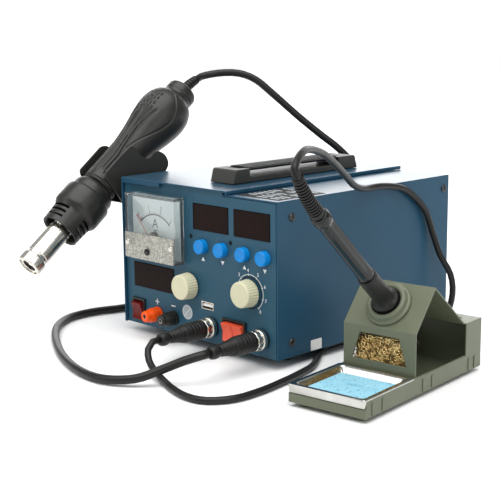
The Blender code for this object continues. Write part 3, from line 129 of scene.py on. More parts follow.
def camera_axes(yaw, pitch, roll):
    """Right, up and forward of a camera with these angles."""
    along = math.cos(pitch)
    forward = Vector((math.sin(yaw) * along, math.cos(yaw) * along, math.sin(pitch)))
    level = Vector((math.cos(yaw), -math.sin(yaw), 0.0))
    up = level.cross(forward)
    right = level * math.cos(roll) + up * math.sin(roll)
    return right, up * math.cos(roll) - level * math.sin(roll), forward


right, up, forward = camera_axes(YAW, PITCH, ROLL)
camera = bpy.data.objects.new("camera", bpy.data.cameras.new("camera"))
bpy.context.collection.objects.link(camera)
camera.data.lens = LENS
camera.data.sensor_width = SENSOR
camera.matrix_world = Matrix.Translation(EYE) @ Matrix((right, up, -forward)).transposed().to_4x4()
bpy.context.scene.camera = camera
print("camera", round((EYE - STATION.translation).length, 3), "m from the case's corner")

# %% [markdown]
# ## Shader sums
# Finishes need a little arithmetic, such as a base roughness plus a share of some noise.
# Written with nodes alone that takes five lines a sum. One small class wraps a socket and turns
# Python's signs into Math nodes, and one method makes any other node.

# %% A socket that can be used in sums
class Amount:
    """A number that varies over a surface, held by a node's output socket."""

    def __init__(self, tree, socket):
        self.tree = tree
        self.socket = socket

    def join(self, operation, first, second):
        node = self.tree.nodes.new("ShaderNodeMath")
        node.operation = operation
        for place, value in zip(node.inputs, (first, second)):
            feed(self.tree, place, value)
        return Amount(self.tree, node.outputs[0])

    def __add__(self, other):
        return self.join("ADD", self, other)

    def __radd__(self, other):
        return self.join("ADD", other, self)

    def __sub__(self, other):
        return self.join("SUBTRACT", self, other)

    def __rsub__(self, other):
        return self.join("SUBTRACT", other, self)

    def __mul__(self, other):
        return self.join("MULTIPLY", self, other)

    def __rmul__(self, other):
        return self.join("MULTIPLY", other, self)


def feed(tree, place, value):
    """Link an Amount to an input, or set the input to a plain value."""
    if isinstance(value, Amount):
        tree.links.new(value.socket, place)
    else:
        place.default_value = value


print("sums on sockets: + - *")


# %% A finish, and the one method that makes its nodes
class Finish:
    """A material whose look comes from nodes."""

    def __init__(self, name):
        self.material = bpy.data.materials.new(name)
        self.material.use_nodes = True
        self.tree = self.material.node_tree
        self.shader = next(n for n in self.tree.nodes if n.type == "BSDF_PRINCIPLED")
        self.spot = self.node("TexCoord", out="Object")

    def node(self, kind, settings=None, values=None, out=0):
        node = self.tree.nodes.new("ShaderNode" + kind)
        for key, value in (settings or {}).items():
            if key == "stops":
                for stop, (place, shade) in zip(node.color_ramp.elements, value):
                    stop.position = place
                    stop.color = (shade, shade, shade, 1.0)
            else:
                setattr(node, key, value)
        for key, value in (values or {}).items():
            feed(self.tree, node.inputs[key], value)
        return Amount(self.tree, node.outputs[out])

    def set(self, values):
        for key, value in values.items():
            feed(self.tree, self.shader.inputs[key], value)
        return self


def noise(finish, scale, detail=3.0, stretch=None):
    """Soft random shading of about 1/scale metres, from 0 to 1."""
    spot = finish.spot
    if stretch:
        spot = finish.node("Mapping", values={"Vector": spot, "Scale": stretch})
    return finish.node("TexNoise", values={"Vector": spot, "Scale": scale, "Detail": detail})


def between(finish, share, first, second):
    """A colour between two colours."""
    pair = {0: share, 6: (*first, 1.0), 7: (*second, 1.0)}
    return finish.node("Mix", {"data_type": "RGBA"}, pair, out=2)


def raised(finish, height, depth, strength=1.0):
    """A normal for a surface that rises by depth millimetres where height is 1."""
    return finish.node("Bump", values={"Height": height, "Distance": depth * MM, "Strength": strength})


def threshold(finish, amount, low, high):
    """0 below low, 1 above high, and even in between."""
    return finish.node("ValToRGB", {"stops": [(low, 0.0), (high, 1.0)]}, {"Fac": amount})


print("helpers for noise, mixed colours and bumps")

# %% [markdown]
# ## Finishes
# Nearly everything here is painted sheet, moulded plastic or rubber. They share a build: a
# colour that drifts between two close tones, a roughness with faint handling marks, and a fine
# bump. The size of the grain and the depth tell one from the next, so one function makes them
# all from a short table.

# %% Paint, plastic and rubber
def moulded(name, tone, drift, rough, grain, depth, shine, blotch=40.0, smear=0.12):
    """A finish with a base tone, a close second tone, and a fine grain of its own."""
    made = Finish(name)
    cloud = noise(made, blotch)
    marks = noise(made, blotch * 3.1, 5.0)
    fine = noise(made, grain, 2.0)
    base = between(made, cloud, tone, drift)
    made.set({"Base Color": base, "Roughness": rough + (marks - 0.5) * smear})
    made.set({"Normal": raised(made, fine, depth), "Specular IOR Level": shine})
    return made


# Each row: tone, second tone, roughness, grains to the metre, bump depth in mm, shine.
PLASTIC_TABLE = {
    "case_blue": ((0.019, 0.073, 0.115), (0.024, 0.084, 0.13), 0.42, 2600.0, 0.03, 0.2),
    "cover_blue": ((0.012, 0.058, 0.104), (0.016, 0.068, 0.12), 0.36, 2600.0, 0.03, 0.2),
    "black_steel": ((0.022, 0.022, 0.019), (0.03, 0.03, 0.026), 0.38, 2200.0, 0.04, 0.5),
    "black_plastic": ((0.011, 0.011, 0.0095), (0.017, 0.017, 0.015), 0.36, 1800.0, 0.03, 0.4),
    "black_rubber": ((0.007, 0.007, 0.0065), (0.011, 0.011, 0.01), 0.38, 1500.0, 0.03, 0.3),
    "handle_black": ((0.02, 0.02, 0.0175), (0.034, 0.034, 0.03), 0.42, 1200.0, 0.06, 0.5),
    "button_blue": ((0.002, 0.2, 0.56), (0.004, 0.225, 0.62), 0.3, 1500.0, 0.015, 0.25),
    "cream_plastic": ((0.6, 0.58, 0.4), (0.65, 0.63, 0.44), 0.45, 1400.0, 0.02, 0.3),
    "orange_plastic": ((0.84, 0.075, 0.003), (0.88, 0.095, 0.006), 0.34, 1500.0, 0.02, 0.3),
    "stand_green": ((0.105, 0.12, 0.075), (0.125, 0.14, 0.09), 0.34, 900.0, 0.05, 0.4),
    "board_green": ((0.01, 0.1, 0.035), (0.014, 0.12, 0.045), 0.35, 900.0, 0.03, 0.4),
    "label_white": ((0.8, 0.8, 0.78), (0.74, 0.74, 0.72), 0.6, 2000.0, 0.01, 0.3),
    "label_grey": ((0.42, 0.47, 0.49), (0.34, 0.39, 0.41), 0.5, 2000.0, 0.01, 0.3),
    # label_dark is the dark label on the top, and also painted shade in holes, in the stand's well, inside
    # the shroud and at the back of the nozzle.
    "label_dark": ((0.006, 0.006, 0.006), (0.01, 0.01, 0.01), 0.5, 2000.0, 0.01, 0.1),
    "print_white": ((0.8, 0.82, 0.82), (0.7, 0.72, 0.73), 0.55, 2500.0, 0.01, 0.3),
    "print_black": ((0.008, 0.008, 0.008), (0.014, 0.014, 0.014), 0.6, 2500.0, 0.01, 0.1),
    # A dark brown for the block inside the brass wool: painted shade between the strands.
    "brass_painted_shade": ((0.1, 0.055, 0.014), (0.2, 0.12, 0.03), 0.5, 400.0, 0.3, 0.3),
    "needle_red": ((0.6, 0.03, 0.03), (0.5, 0.02, 0.02), 0.45, 2000.0, 0.01, 0.3),
    "gloss_black": ((0.003, 0.004, 0.0045), (0.005, 0.006, 0.007), 0.1, 600.0, 0.008, 0.35),
}
FINISHES = {name: moulded(name, *row) for name, row in PLASTIC_TABLE.items()}
print(len(FINISHES), "painted and moulded finishes")

# %% [markdown]
# Satin paint mirrors its surroundings most at a low angle, and on the case that shows on the flat
# top. A clear coat that lies only where the paint faces up gives the top this sheen and leaves the
# sides a deep blue. The mask comes from the surface's normal, so it stays with the sheet.

# %% A coat on the top of the case
COAT_FROM, COAT_FULL = 0.5, 0.9
upward = FINISHES["cover_blue"]
rise = upward.node("SeparateXYZ", values={"Vector": upward.node("NewGeometry", out=1)}, out=2)
lying = threshold(upward, rise, COAT_FROM, COAT_FULL)
upward.set({"Coat Weight": lying * 0.9, "Coat Roughness": 0.3, "Coat IOR": 1.6})
print("the coat starts where the normal's height is", COAT_FROM)

# %% [markdown]
# Bare metal carries its look in the roughness. The nickel of the plugs and the heater tube is
# bright with a few soft streaks, the sponge tray is polished sheet, and the meter's trim is
# rolled sheet with short cross hatching. A high metallic value with a pale tone does the rest.
# The stainless finish of the tray and the iron's barrel is the exception: its two tones, one dark
# and one bright, are painted reflections of dark and bright surroundings in soft patches.

# %% Bare metals
def metal(name, tone, drift, rough, smear, stretch, depth):
    """Bare metal with streaks that run across the stretched direction."""
    made = Finish(name)
    streak = noise(made, 120.0, 4.0, stretch)
    cloud = noise(made, 35.0)
    base = between(made, cloud, tone, drift)
    made.set({"Base Color": base, "Metallic": 1.0, "Roughness": rough + (streak - 0.5) * smear})
    made.set({"Normal": raised(made, streak, depth)})
    return made


# Each row: tone, second tone, roughness, share of the streaks, their stretch, bump depth in mm.
METAL_TABLE = {
    "nickel": ((0.78, 0.75, 0.68), (0.7, 0.67, 0.6), 0.2, 0.16, (1.0, 1.0, 8.0), 0.01),
    # Stainless: a dark and a bright tone in soft patches, which are painted reflections.
    "stainless": ((0.24, 0.235, 0.2), (0.86, 0.86, 0.83), 0.16, 0.2, (1.0, 5.0, 1.0), 0.02),
    "brass": ((1.0, 0.8, 0.4), (0.86, 0.6, 0.24), 0.24, 0.2, (3.0, 3.0, 3.0), 0.02),
    "screw_black": ((0.05, 0.05, 0.05), (0.08, 0.08, 0.08), 0.35, 0.1, (1.0, 1.0, 1.0), 0.01),
    "lamination": ((0.16, 0.16, 0.17), (0.1, 0.1, 0.11), 0.45, 0.2, (1.0, 30.0, 1.0), 0.04),
}
FINISHES.update({name: metal(name, *row) for name, row in METAL_TABLE.items()})

trim = Finish("brushed_metal")
hatch = noise(trim, 300.0, 3.0, (1.0, 1.0, 5.0)) * noise(trim, 300.0, 3.0, (5.0, 1.0, 1.0))
bright = threshold(trim, hatch, 0.1, 0.42)
trim.set({"Base Color": between(trim, bright, (0.14, 0.14, 0.12), (0.64, 0.63, 0.57))})
trim.set({"Metallic": 0.6, "Roughness": 0.32 + hatch * 0.5, "Normal": raised(trim, hatch, 0.08)})
FINISHES["brushed_metal"] = trim
print("bare metals:", ", ".join([*METAL_TABLE, "brushed_metal"]))

# %% [markdown]
# The meter's cover is clear acrylic, and it is the one piece that passes light here, since
# transmission is slow. The rocker switches are deep red caps, and the display windows are so dark
# that only their gloss shows while they are off, so neither is worth the wait.

# %% Clear and tinted plastic
def tinted(name, tone, rough, through, shine):
    """A glossy plastic that passes a share of the light."""
    made = Finish(name)
    marks = noise(made, 60.0, 4.0)
    made.set({"Base Color": (*tone, 1.0), "Roughness": rough + marks * 0.05})
    made.set({"Transmission Weight": through, "IOR": 1.49, "Specular IOR Level": shine})
    return made


FINISHES["clear_plastic"] = tinted("clear_plastic", (0.94, 0.97, 0.96), 0.02, 0.96, 0.5)
FINISHES["signal_red"] = tinted("signal_red", (0.8, 0.1, 0.045), 0.2, 0.0, 0.35)
FINISHES["dark_red"] = tinted("dark_red", (0.13, 0.006, 0.006), 0.16, 0.0, 0.2)
FINISHES["smoked_window"] = tinted("smoked_window", (0.009, 0.0035, 0.0025), 0.14, 0.0, 0.06)

dial = Finish("dial_white")
dial.set({"Base Color": between(dial, noise(dial, 30.0), (0.66, 0.74, 0.76), (0.72, 0.79, 0.8))})
dial.set({"Roughness": 0.5 + noise(dial, 800.0) * 0.1})
FINISHES["dial_white"] = dial
print("clear, red, smoked and dial finishes")

# %% [markdown]
# The sponge is pressed cellulose: pale blue, full of round pores, darker where it is wet. The
# big pores are pressed into its mesh further down, and the small ones are Voronoi cells in bump
# here. The openings of the small pores are also mixed towards a deep blue, which is painted shade.

# %% Sponge
CELLS, PITS = 900.0, 330.0
foam = Finish("sponge_blue")
cells = foam.node("TexVoronoi", values={"Vector": foam.spot, "Scale": CELLS})
pits = foam.node("TexVoronoi", values={"Vector": foam.spot, "Scale": PITS})
open_pit_and_shade = 1.0 - threshold(foam, pits, 0.12, 0.3)
base = between(foam, noise(foam, 90.0, 5.0), (0.2, 0.47, 0.6), (0.33, 0.62, 0.74))
# Painted shade: the pore openings are mixed towards a deep blue.
pit_painted_shade = foam.node(
    "Mix", {"data_type": "RGBA"}, {0: open_pit_and_shade * 0.7, 6: base, 7: (0.03, 0.16, 0.28, 1.0)}, out=2
)
foam.set({"Base Color": pit_painted_shade, "Roughness": 0.9, "Normal": raised(foam, cells - open_pit_and_shade, 0.35)})
FINISHES["sponge_blue"] = foam
print("sponge finish with", PITS, "pits to the metre")

# %% [markdown]
# ## Building meshes
# Most parts here are either turned (knobs, plugs, the gun, the iron) or folded and moulded with
# straight sides. A turned part is a profile spun about an axis. A straight one is an outline
# given depth. Both return plain vertices and faces, and one function joins them, rounds their
# edges, carries them into place and hangs them on the solid's moving body.

# %% Turned shapes
def turned(profile, sides, axis="Y", centre=(0.0, 0.0), cut=None):
    """Vertices and faces of a profile of (radius, along) spun about an axis.

    cut(angle, along) gives how far the surface is drawn in there.
    """
    verts = []
    for radius, along in profile:
        for k in range(sides):
            angle = math.tau * k / sides
            r = max(radius - (cut(angle, along) if cut and radius > 0.0 else 0.0), 0.0)
            a = centre[0] + r * math.cos(angle)
            b = centre[1] + r * math.sin(angle)
            verts.append((a, along, b) if axis == "Y" else (a, b, along))
    rings = len(profile)
    closed = profile[0][0] > 0.0 or profile[-1][0] > 0.0
    faces = []
    for i in range(rings if closed else rings - 1):
        low, high = i * sides, (i + 1) % rings * sides
        for k in range(sides):
            j = (k + 1) % sides
            faces.append((low + k, low + j, high + j, high + k))
    return verts, faces


def eased(points, radius, steps=3):
    """A line of points with each inner corner rounded off."""
    line = [Vector(p) for p in points]
    out = [line[0]]
    for a, b, c in zip(line, line[1:], line[2:]):
        reach = min(radius, (b - a).length * 0.45, (c - b).length * 0.45)
        start = b + (a - b).normalized() * reach
        end = b + (c - b).normalized() * reach
        for i in range(steps + 1):
            t = i / steps
            out.append(start * (1 - t) ** 2 + b * 2 * t * (1 - t) + end * t**2)
    return [tuple(p) for p in [*out, line[-1]]]


def filled(points, spacing):
    """A line of points with more put in, so that none are further apart than the spacing."""
    out = []
    for a, b in zip(points, points[1:]):
        count = max(1, math.ceil((Vector(b) - Vector(a)).length / spacing))
        out += [tuple(Vector(a).lerp(Vector(b), i / count)) for i in range(count)]
    return [*out, points[-1]]


def wave(value, period, duty=0.5):
    """1 in the first share of each period, else 0."""
    return 1.0 if (value / period) % 1.0 < duty else 0.0


print("a square turned profile has", len(turned([(0, 0), (1, 0), (1, 1), (0, 1)], 8)[1]), "faces")


# %% Straight shapes
def prism(outline, low, high, axis="Y"):
    """An outline in the other two axes, given depth along an axis."""
    def spot(a, b, depth):
        return {"X": (depth, a, b), "Y": (a, depth, b), "Z": (a, b, depth)}[axis]

    count = len(outline)
    verts = [spot(a, b, depth) for depth in (low, high) for a, b in outline]
    sides = [(k, (k + 1) % count, (k + 1) % count + count, k + count) for k in range(count)]
    return verts, [tuple(range(count)), tuple(range(count, 2 * count)), *sides]


def box(x, y, z):
    """A box between two values on each axis."""
    return prism([(x[0], z[0]), (x[1], z[0]), (x[1], z[1]), (x[0], z[1])], *y)


def round_rect(x, y, corner, steps=5):
    """The outline of a rectangle with round corners."""
    corner = max(min(corner, (x[1] - x[0]) / 2, (y[1] - y[0]) / 2), 0.001)
    out = []
    for cx, cy, start in (
        (x[1] - corner, y[1] - corner, 0.0),
        (x[0] + corner, y[1] - corner, 90.0),
        (x[0] + corner, y[0] + corner, 180.0),
        (x[1] - corner, y[0] + corner, 270.0),
    ):
        for i in range(steps + 1):
            angle = math.radians(start + 90.0 * i / steps)
            out.append((cx + corner * math.cos(angle), cy + corner * math.sin(angle)))
    return out


def lofted(loops, closed=True):
    """A skin through loops of points of equal count, capped at its ends unless it closes on itself."""
    count = len(loops[0])
    verts = [point for loop in loops for point in loop]
    faces = []
    for i in range(len(loops) - (0 if closed else 1)):
        low, high = i * count, (i + 1) % len(loops) * count
        for k in range(count):
            j = (k + 1) % count
            faces.append((low + k, low + j, high + j, high + k))
    if not closed:
        faces += [tuple(range(count)), tuple(range(len(verts) - count, len(verts)))]
    return verts, faces


def swept(points, radii, sides=20):
    """A round bar along points, with one radius for each and flat closed ends."""
    line = [Vector(p) for p in points]
    side = None
    loops = []
    for i, spot in enumerate(line):
        way = (line[min(i + 1, len(line) - 1)] - line[max(i - 1, 0)]).normalized()
        side = way.orthogonal() if side is None else side - way * side.dot(way)
        side = side.normalized()
        other = way.cross(side)
        ring = [math.tau * k / sides for k in range(sides)]
        spokes = [side * math.cos(a) + other * math.sin(a) for a in ring]
        loops.append([tuple(spot + spoke * radii[i]) for spoke in spokes])
    return lofted(loops, closed=False)


print("a rounded rectangle has", len(round_rect((0, 4), (0, 2), 0.5)), "corner points")


# %% Joining shapes into one finished piece
EDGE_ANGLE = math.radians(30.0)
WELD = 0.002


def settle(item, body, finish, stands_for=(), sharp=40.0, weighted=False):
    """Shade a piece, give it its finish, and hang it on its moving body."""
    item.data.materials.clear()
    item.data.materials.append(FINISHES[finish].material)
    if item.type == "MESH":
        item.data.shade_smooth()
        item.data.set_sharp_from_angle(angle=math.radians(sharp))
    if weighted:
        item.modifiers.new("even shading", "WEIGHTED_NORMAL").keep_sharp = True
    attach(item, body)
    if stands_for:
        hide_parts(*stands_for)
    return item


def rounded_edges(bm, width, steps=3):
    """Round every corner edge of a mesh."""
    edges = [e for e in bm.edges if len(e.link_faces) == 2 and e.calc_face_angle(0.0) > EDGE_ANGLE]
    bmesh.ops.bevel(
        bm, geom=edges, offset=width, segments=steps, profile=0.5, affect="EDGES", clamp_overlap=True
    )


def make(name, shapes, body, finish, place=STATION, stands_for=(), rounding=0.0, sharp=40.0):
    """Join shapes into one mesh piece in a frame."""
    bm = bmesh.new()
    for verts, faces in shapes:
        made = [bm.verts.new(v) for v in verts]
        for face in faces:
            bm.faces.new([made[k] for k in face])
    bmesh.ops.remove_doubles(bm, verts=bm.verts, dist=WELD)
    bmesh.ops.recalc_face_normals(bm, faces=bm.faces)
    if rounding:
        rounded_edges(bm, rounding)
    bm.transform(place)
    mesh = bpy.data.meshes.new(name)
    bm.to_mesh(mesh)
    bm.free()
    item = bpy.data.objects.new(name, mesh)
    bpy.context.collection.objects.link(item)
    return settle(item, body, finish, stands_for, sharp, weighted=rounding > 0.0)


def body_of(node):
    """The moving body that a solid belongs to."""
    bodies = frame["record"]["behaviour"]["bodies"]
    return next(body for body, nodes in bodies.items() if node in nodes)


def softened(node, finish, width, steps=3):
    """A copy of a solid with its edges rounded, in place of the sharp one."""
    bm = bmesh.new()
    bm.from_mesh(frame["nodes"][node].data)
    bmesh.ops.remove_doubles(bm, verts=bm.verts, dist=1e-6)
    bmesh.ops.dissolve_limit(bm, angle_limit=math.radians(1.0), verts=bm.verts, edges=bm.edges)
    rounded_edges(bm, width * MM, steps)
    mesh = bpy.data.meshes.new(node + "_skin")
    bm.to_mesh(mesh)
    bm.free()
    item = bpy.data.objects.new(node + "_skin", mesh)
    bpy.context.collection.objects.link(item)
    return settle(item, body_of(node), finish, [node], sharp=50.0, weighted=True)


print("makers ready")

# %% [markdown]
# ## Cords
# The two cords come first, because they have to lie exactly where their solids lie. Each is a
# smooth curve through a short list of points: out of the tool, over the case, down to the bench
# and round to its plug. A curve with a round bevel would be the shortest way, but its end could
# not follow the tool, so a round mesh is swept along the curve instead. It is not hung on a
# moving body, so it stays where it is drawn when a tool is lifted away.

# %% Cord routes
GUN_CORD_RADIUS, IRON_CORD_RADIUS = 3.5, 2.75
BENCH = -8.0
RELIEF_STEPS, RELIEF_LEAD, GAP = 9, 7.0, 0.3
GUN_RELIEF = {"start": 229.0, "length": 18.0, "bend": -5.0}
IRON_RELIEF = {"start": 121.0, "length": 34.0, "bend": 10.0}
PLUGS = {"iron": (112.0, 14.4), "gun": (171.0, 15.2)}
PLUG_END = -57.0


def relief_point(axis, relief, share):
    """A point a share of the way along a strain relief that bends away from its tool."""
    along = relief["start"] + GAP + relief["length"] * share
    aside = relief["bend"] * share**2 / 2
    return Vector((0.0, along, aside) if axis == "Y" else (0.0, aside, along))


def relief_exit(place, axis, relief):
    """Two station points where a cord leaves its strain relief."""
    last = relief_point(axis, relief, 1.0)
    way = (last - relief_point(axis, relief, 1.0 - 1.0 / RELIEF_STEPS)).normalized()
    home = STATION.inverted()
    return [tuple(home @ place @ (last + way * ahead)) for ahead in (GAP, RELIEF_LEAD)]


def smooth_route(route, spacing, lowest):
    """Points at about even spacing on a smooth curve through a route, none of them too low."""
    marks = [Vector(point) for point in route]
    ends = [marks[0] * 2 - marks[1]] + marks + [marks[-1] * 2 - marks[-2]]
    points = []
    for a, b, c, d in zip(ends, ends[1:], ends[2:], ends[3:]):
        steps = max(1, round((c - b).length / spacing))
        for i in range(steps):
            t = i / steps
            push = (c - a) * t + (a * 2 - b * 5 + c * 4 - d) * t**2 + (b * 3 - a - c * 3 + d) * t**3
            point = b + push / 2
            point.z = max(point.z, lowest)
            points.append(point)
    return points + [marks[-1]]


GUN_LOW = GUN_CORD_RADIUS + BENCH
IRON_LOW = IRON_CORD_RADIUS + BENCH
GUN_ROUTE = [
    (-24.5, 129.0, 213.2),
    (-17.0, 139.6, 214.4),
    (-8.0, 151.0, 213.4),
    (3.0, 162.0, 207.0),
    (17.0, 174.0, 191.5),
    (32.0, 190.0, 172.0),
    (47.0, 204.3, 155.0),
    (60.0, 216.5, 141.0),
    (67.5, 227.5, 126.0),
    (72.0, 234.0, 104.0),
    (73.0, 238.0, 74.0),
    (70.0, 243.0, 40.0),
    (62.0, 248.0, 14.0),
    (44.0, 254.0, GUN_LOW + 1.0),
    (12.0, 256.0, GUN_LOW),
    (-20.0, 246.0, GUN_LOW),
    (-42.0, 220.0, GUN_LOW),
    (-50.0, 182.0, GUN_LOW),
    (-50.0, 140.0, GUN_LOW),
    (-48.0, 96.0, GUN_LOW),
    (-50.0, 62.0, GUN_LOW),
    (-55.0, 34.0, GUN_LOW),
    (-63.0, 6.0, GUN_LOW),
    (-59.0, -24.0, GUN_LOW),
    (-33.0, -55.0, GUN_LOW),
    (23.0, -91.0, GUN_LOW),
    (74.0, -112.0, GUN_LOW),
    (112.0, -116.0, GUN_LOW + 0.4),
    (137.0, -103.0, GUN_LOW + 2.6),
    (150.0, -87.0, 4.5),
    (161.5, -74.5, 11.0),
]
IRON_ROUTE = [
    (283.5, -79.0, 173.5),
    (277.0, -66.5, 177.5),
    (268.0, -50.0, 177.0),
    (253.3, -21.6, 171.0),
    (238.0, 7.5, 160.8),
    (219.8, 42.0, 146.2),
    (205.0, 70.0, 134.0),
    (193.0, 97.0, 127.4),
    (191.2, 122.0, 126.6),
    (191.2, 147.0, 122.6),
    (191.4, 164.0, 114.0),
    (192.0, 181.0, 99.0),
    (193.0, 191.0, 78.0),
    (197.0, 197.0, 58.0),
    (203.0, 205.0, 40.0),
    (205.0, 206.0, 22.0),
    (204.0, 199.0, 5.0),
    (198.0, 186.0, IRON_LOW + 1.0),
    (188.0, 168.0, IRON_LOW),
    (179.0, 144.0, IRON_LOW),
    (175.0, 112.0, IRON_LOW),
    (174.0, 86.0, IRON_LOW),
    (176.0, 66.0, IRON_LOW),
    (187.0, 49.0, IRON_LOW),
    (203.0, 24.0, IRON_LOW),
    (210.0, 2.0, IRON_LOW),
    (215.0, -22.0, IRON_LOW),
    (219.0, -51.0, IRON_LOW),
    (218.0, -76.0, IRON_LOW),
    (207.0, -93.0, IRON_LOW),
    (190.0, -97.0, IRON_LOW),
    (168.0, -92.0, IRON_LOW),
    (148.0, -84.0, IRON_LOW + 0.3),
    (132.5, -79.5, -1.8),
    (121.0, -75.5, 3.2),
    (114.0, -70.5, 9.8),
]

print("route points:", len(GUN_ROUTE), "and", len(IRON_ROUTE))


# %% The two cords
def cord(name, place, axis, relief, route, tool, radius):
    """A round cord from its strain relief, along its route, into its plug."""
    x, z = PLUGS[tool]
    low = radius + BENCH
    ends = [(x, PLUG_END - RELIEF_LEAD, z), (x, PLUG_END - GAP, z)]
    points = smooth_route([*relief_exit(place, axis, relief), *route, *ends], 6.0, low)
    verts, faces = swept(points, [radius] * len(points))
    mesh = bpy.data.meshes.new(name)
    mesh.from_pydata([STATION @ Vector(v) for v in verts], [], faces)
    mesh.shade_smooth()
    mesh.materials.append(FINISHES["black_rubber"].material)
    item = bpy.data.objects.new(name, mesh)
    bpy.context.collection.objects.link(item)
    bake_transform(item)
    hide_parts(tool + "_cord")
    path = [tuple(STATION @ p) for p in points]
    length = sum(math.dist(a, b) for a, b in zip(path, path[1:]))
    print(f"{name}: {length:.3f} m in {len(path)} points")
    return item, path, length


gun_flex, gun_path, gun_length = cord(
    "gun_flex", GUN, "Y", GUN_RELIEF, GUN_ROUTE, "gun", GUN_CORD_RADIUS
)
iron_flex, iron_path, iron_length = cord(
    "iron_flex", IRON, "Z", IRON_RELIEF, IRON_ROUTE, "iron", IRON_CORD_RADIUS
)

# %% [markdown]
# ## The case
# The case is bent sheet steel in one dark blue paint. A folded edge is never sharp: its outside
# radius is about the sheet's thickness, and it catches a thin line of light. The solids have
# sharp folds, so each is copied with its edges rounded.

# %% Sheet metal of the case
CASE_WIDTH, CASE_DEPTH = 188.0, 220.0
CASE_SKINS = (
    ("left_top_cover", "cover_blue", 0.6),
    ("right_cover", "cover_blue", 0.6),
    ("base_tray", "case_blue", 0.5),
    ("rear_panel", "case_blue", 0.3),
)
for node, finish, width in CASE_SKINS:
    softened(node, finish, width)
print("case skins:", len(CASE_SKINS))


# %% Screws of the case
def pan_head(centre, radius, height, face, axis="X"):
    """A low domed screw head with a round recess, standing on a face."""
    way = 1.0 if axis == "X" else -1.0
    profile = eased(
        [
            (0.0, height * 0.35),
            (radius * 0.28, height * 0.35),
            (radius * 0.34, height),
            (radius * 0.8, height * 0.82),
            (radius, height * 0.3),
            (radius, 0.0),
            (0.0, 0.0),
        ],
        radius * 0.12,
    )
    verts, faces = turned([(r, face + way * h) for r, h in profile], 20)
    if axis == "X":
        verts = [(along, centre[0] + a, centre[1] + b) for a, along, b in verts]
    else:
        verts = [(centre[0] + a, along, centre[1] + b) for a, along, b in verts]
    return verts, faces


SIDE_HEAD, REAR_HEAD = (3.4, 1.6), (3.0, 1.5)
RIGHT_SCREWS = ((16.0, 113.0), (16.0, 12.4), (212.0, 114.7), (212.0, 12.4))
LEFT_SCREWS = ((16.0, 12.4), (212.0, 12.4))
REAR_SCREWS = [(x, z) for x in (10.0, 178.0) for z in (12.0, 112.0)]
right_heads = [pan_head(spot, *SIDE_HEAD, CASE_WIDTH) for spot in RIGHT_SCREWS]
make("side_screws_right", right_heads, "station", "screw_black")
left_heads = [
    ([(-x, y, z) for x, y, z in verts], faces)
    for verts, faces in (pan_head(spot, *SIDE_HEAD, 0.0) for spot in LEFT_SCREWS)
]
make("side_screws_left", left_heads, "station", "screw_black")
rear_heads = [
    ([(x, CASE_DEPTH - y, z) for x, y, z in verts], faces)
    for verts, faces in (pan_head(spot, *REAR_HEAD, 0.0, "Y") for spot in REAR_SCREWS)
]
make("rear_screws", rear_heads, "station", "screw_black")
print("screw heads:", len(right_heads + left_heads + rear_heads))

# %% Pin hole, blank sticker and barred label
PIN_HOLE = (53.4, 113.8)
STICKER_Y, STICKER_Z = (38.0, 51.0), (0.8, 9.5)
LABEL_X, LABEL_Y = (136.5, 184.0), (6.0, 60.0)
LABEL_SHEET, LABEL_INK = (126.52, 126.64), (126.66, 126.7)
LABEL_COLUMNS = ((140.0, 152.0), (155.0, 167.0), (169.5, 181.0))
LABEL_ROWS, FIRST_ROW, ROW_STEP, BAR_DEPTH = 9, 10.0, 5.6, 2.4
# The pin hole is a near-black disc on the side: painted shade for the inside of the hole.
hole = turned(
    [(0.0, CASE_WIDTH), (1.1, CASE_WIDTH), (1.1, CASE_WIDTH + 0.06), (0.0, CASE_WIDTH + 0.06)], 16
)
side_hole_shade = ([(y, PIN_HOLE[0] + x, PIN_HOLE[1] + z) for x, y, z in hole[0]], hole[1])
make("side_pin_hole_shade", [side_hole_shade], "station", "label_dark")
sticker = prism(round_rect(STICKER_Y, STICKER_Z, 0.6), CASE_WIDTH + 0.02, CASE_WIDTH + 0.14, "X")
make("side_sticker", [sticker], "station", "label_white")
strip_label = box(LABEL_X, LABEL_Y, LABEL_SHEET)
make("top_label", [strip_label], "station", "label_dark", rounding=0.04)
lines = []
for row in range(LABEL_ROWS):
    y = FIRST_ROW + ROW_STEP * row
    for column, (start, end) in enumerate(LABEL_COLUMNS):
        if (row * 5 + column * 3) % 7:
            shorter = end - (row * 3 + column) % 4
            lines.append(box((start, shorter), (y, y + BAR_DEPTH), LABEL_INK))
make("top_label_bars", lines, "station", "label_grey")
print("label bars:", len(lines))

# %% Feet of the case
FOOT_SPOTS = {
    "foot_front_left": (22.0, 30.0),
    "foot_front_right": (166.0, 30.0),
    "foot_rear_left": (22.0, 190.0),
    "foot_rear_right": (166.0, 190.0),
}
for node, centre in FOOT_SPOTS.items():
    low, high = BENCH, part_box(node)[1][2] / MM + BENCH
    profile = [
        (0.0, low + 0.9), (2.5, low + 0.9), (3.4, low), (6.0, low), (6.9, low + 1.5), (7.0, high),
        (0.0, high),
    ]
    pad = turned(eased(profile, 0.6), 32, "Z", centre)
    make(node + "_pad", [pad], "station", "black_rubber", stands_for=[node])
print("feet:", len(FOOT_SPOTS))

# %% [markdown]
# ## The front panel
# The panel is one flat sheet. Its markings are screen print, which stands a few hundredths of a
# millimetre proud. Thin meshes show that better from close by than a painted texture would, and
# they need no image. Letters come from Blender's own font, turned into a mesh.

# %% Printed marks
PRINT = (-0.09, -0.02)
LETTER_HALF, LETTER_OUT = 0.035, 0.055


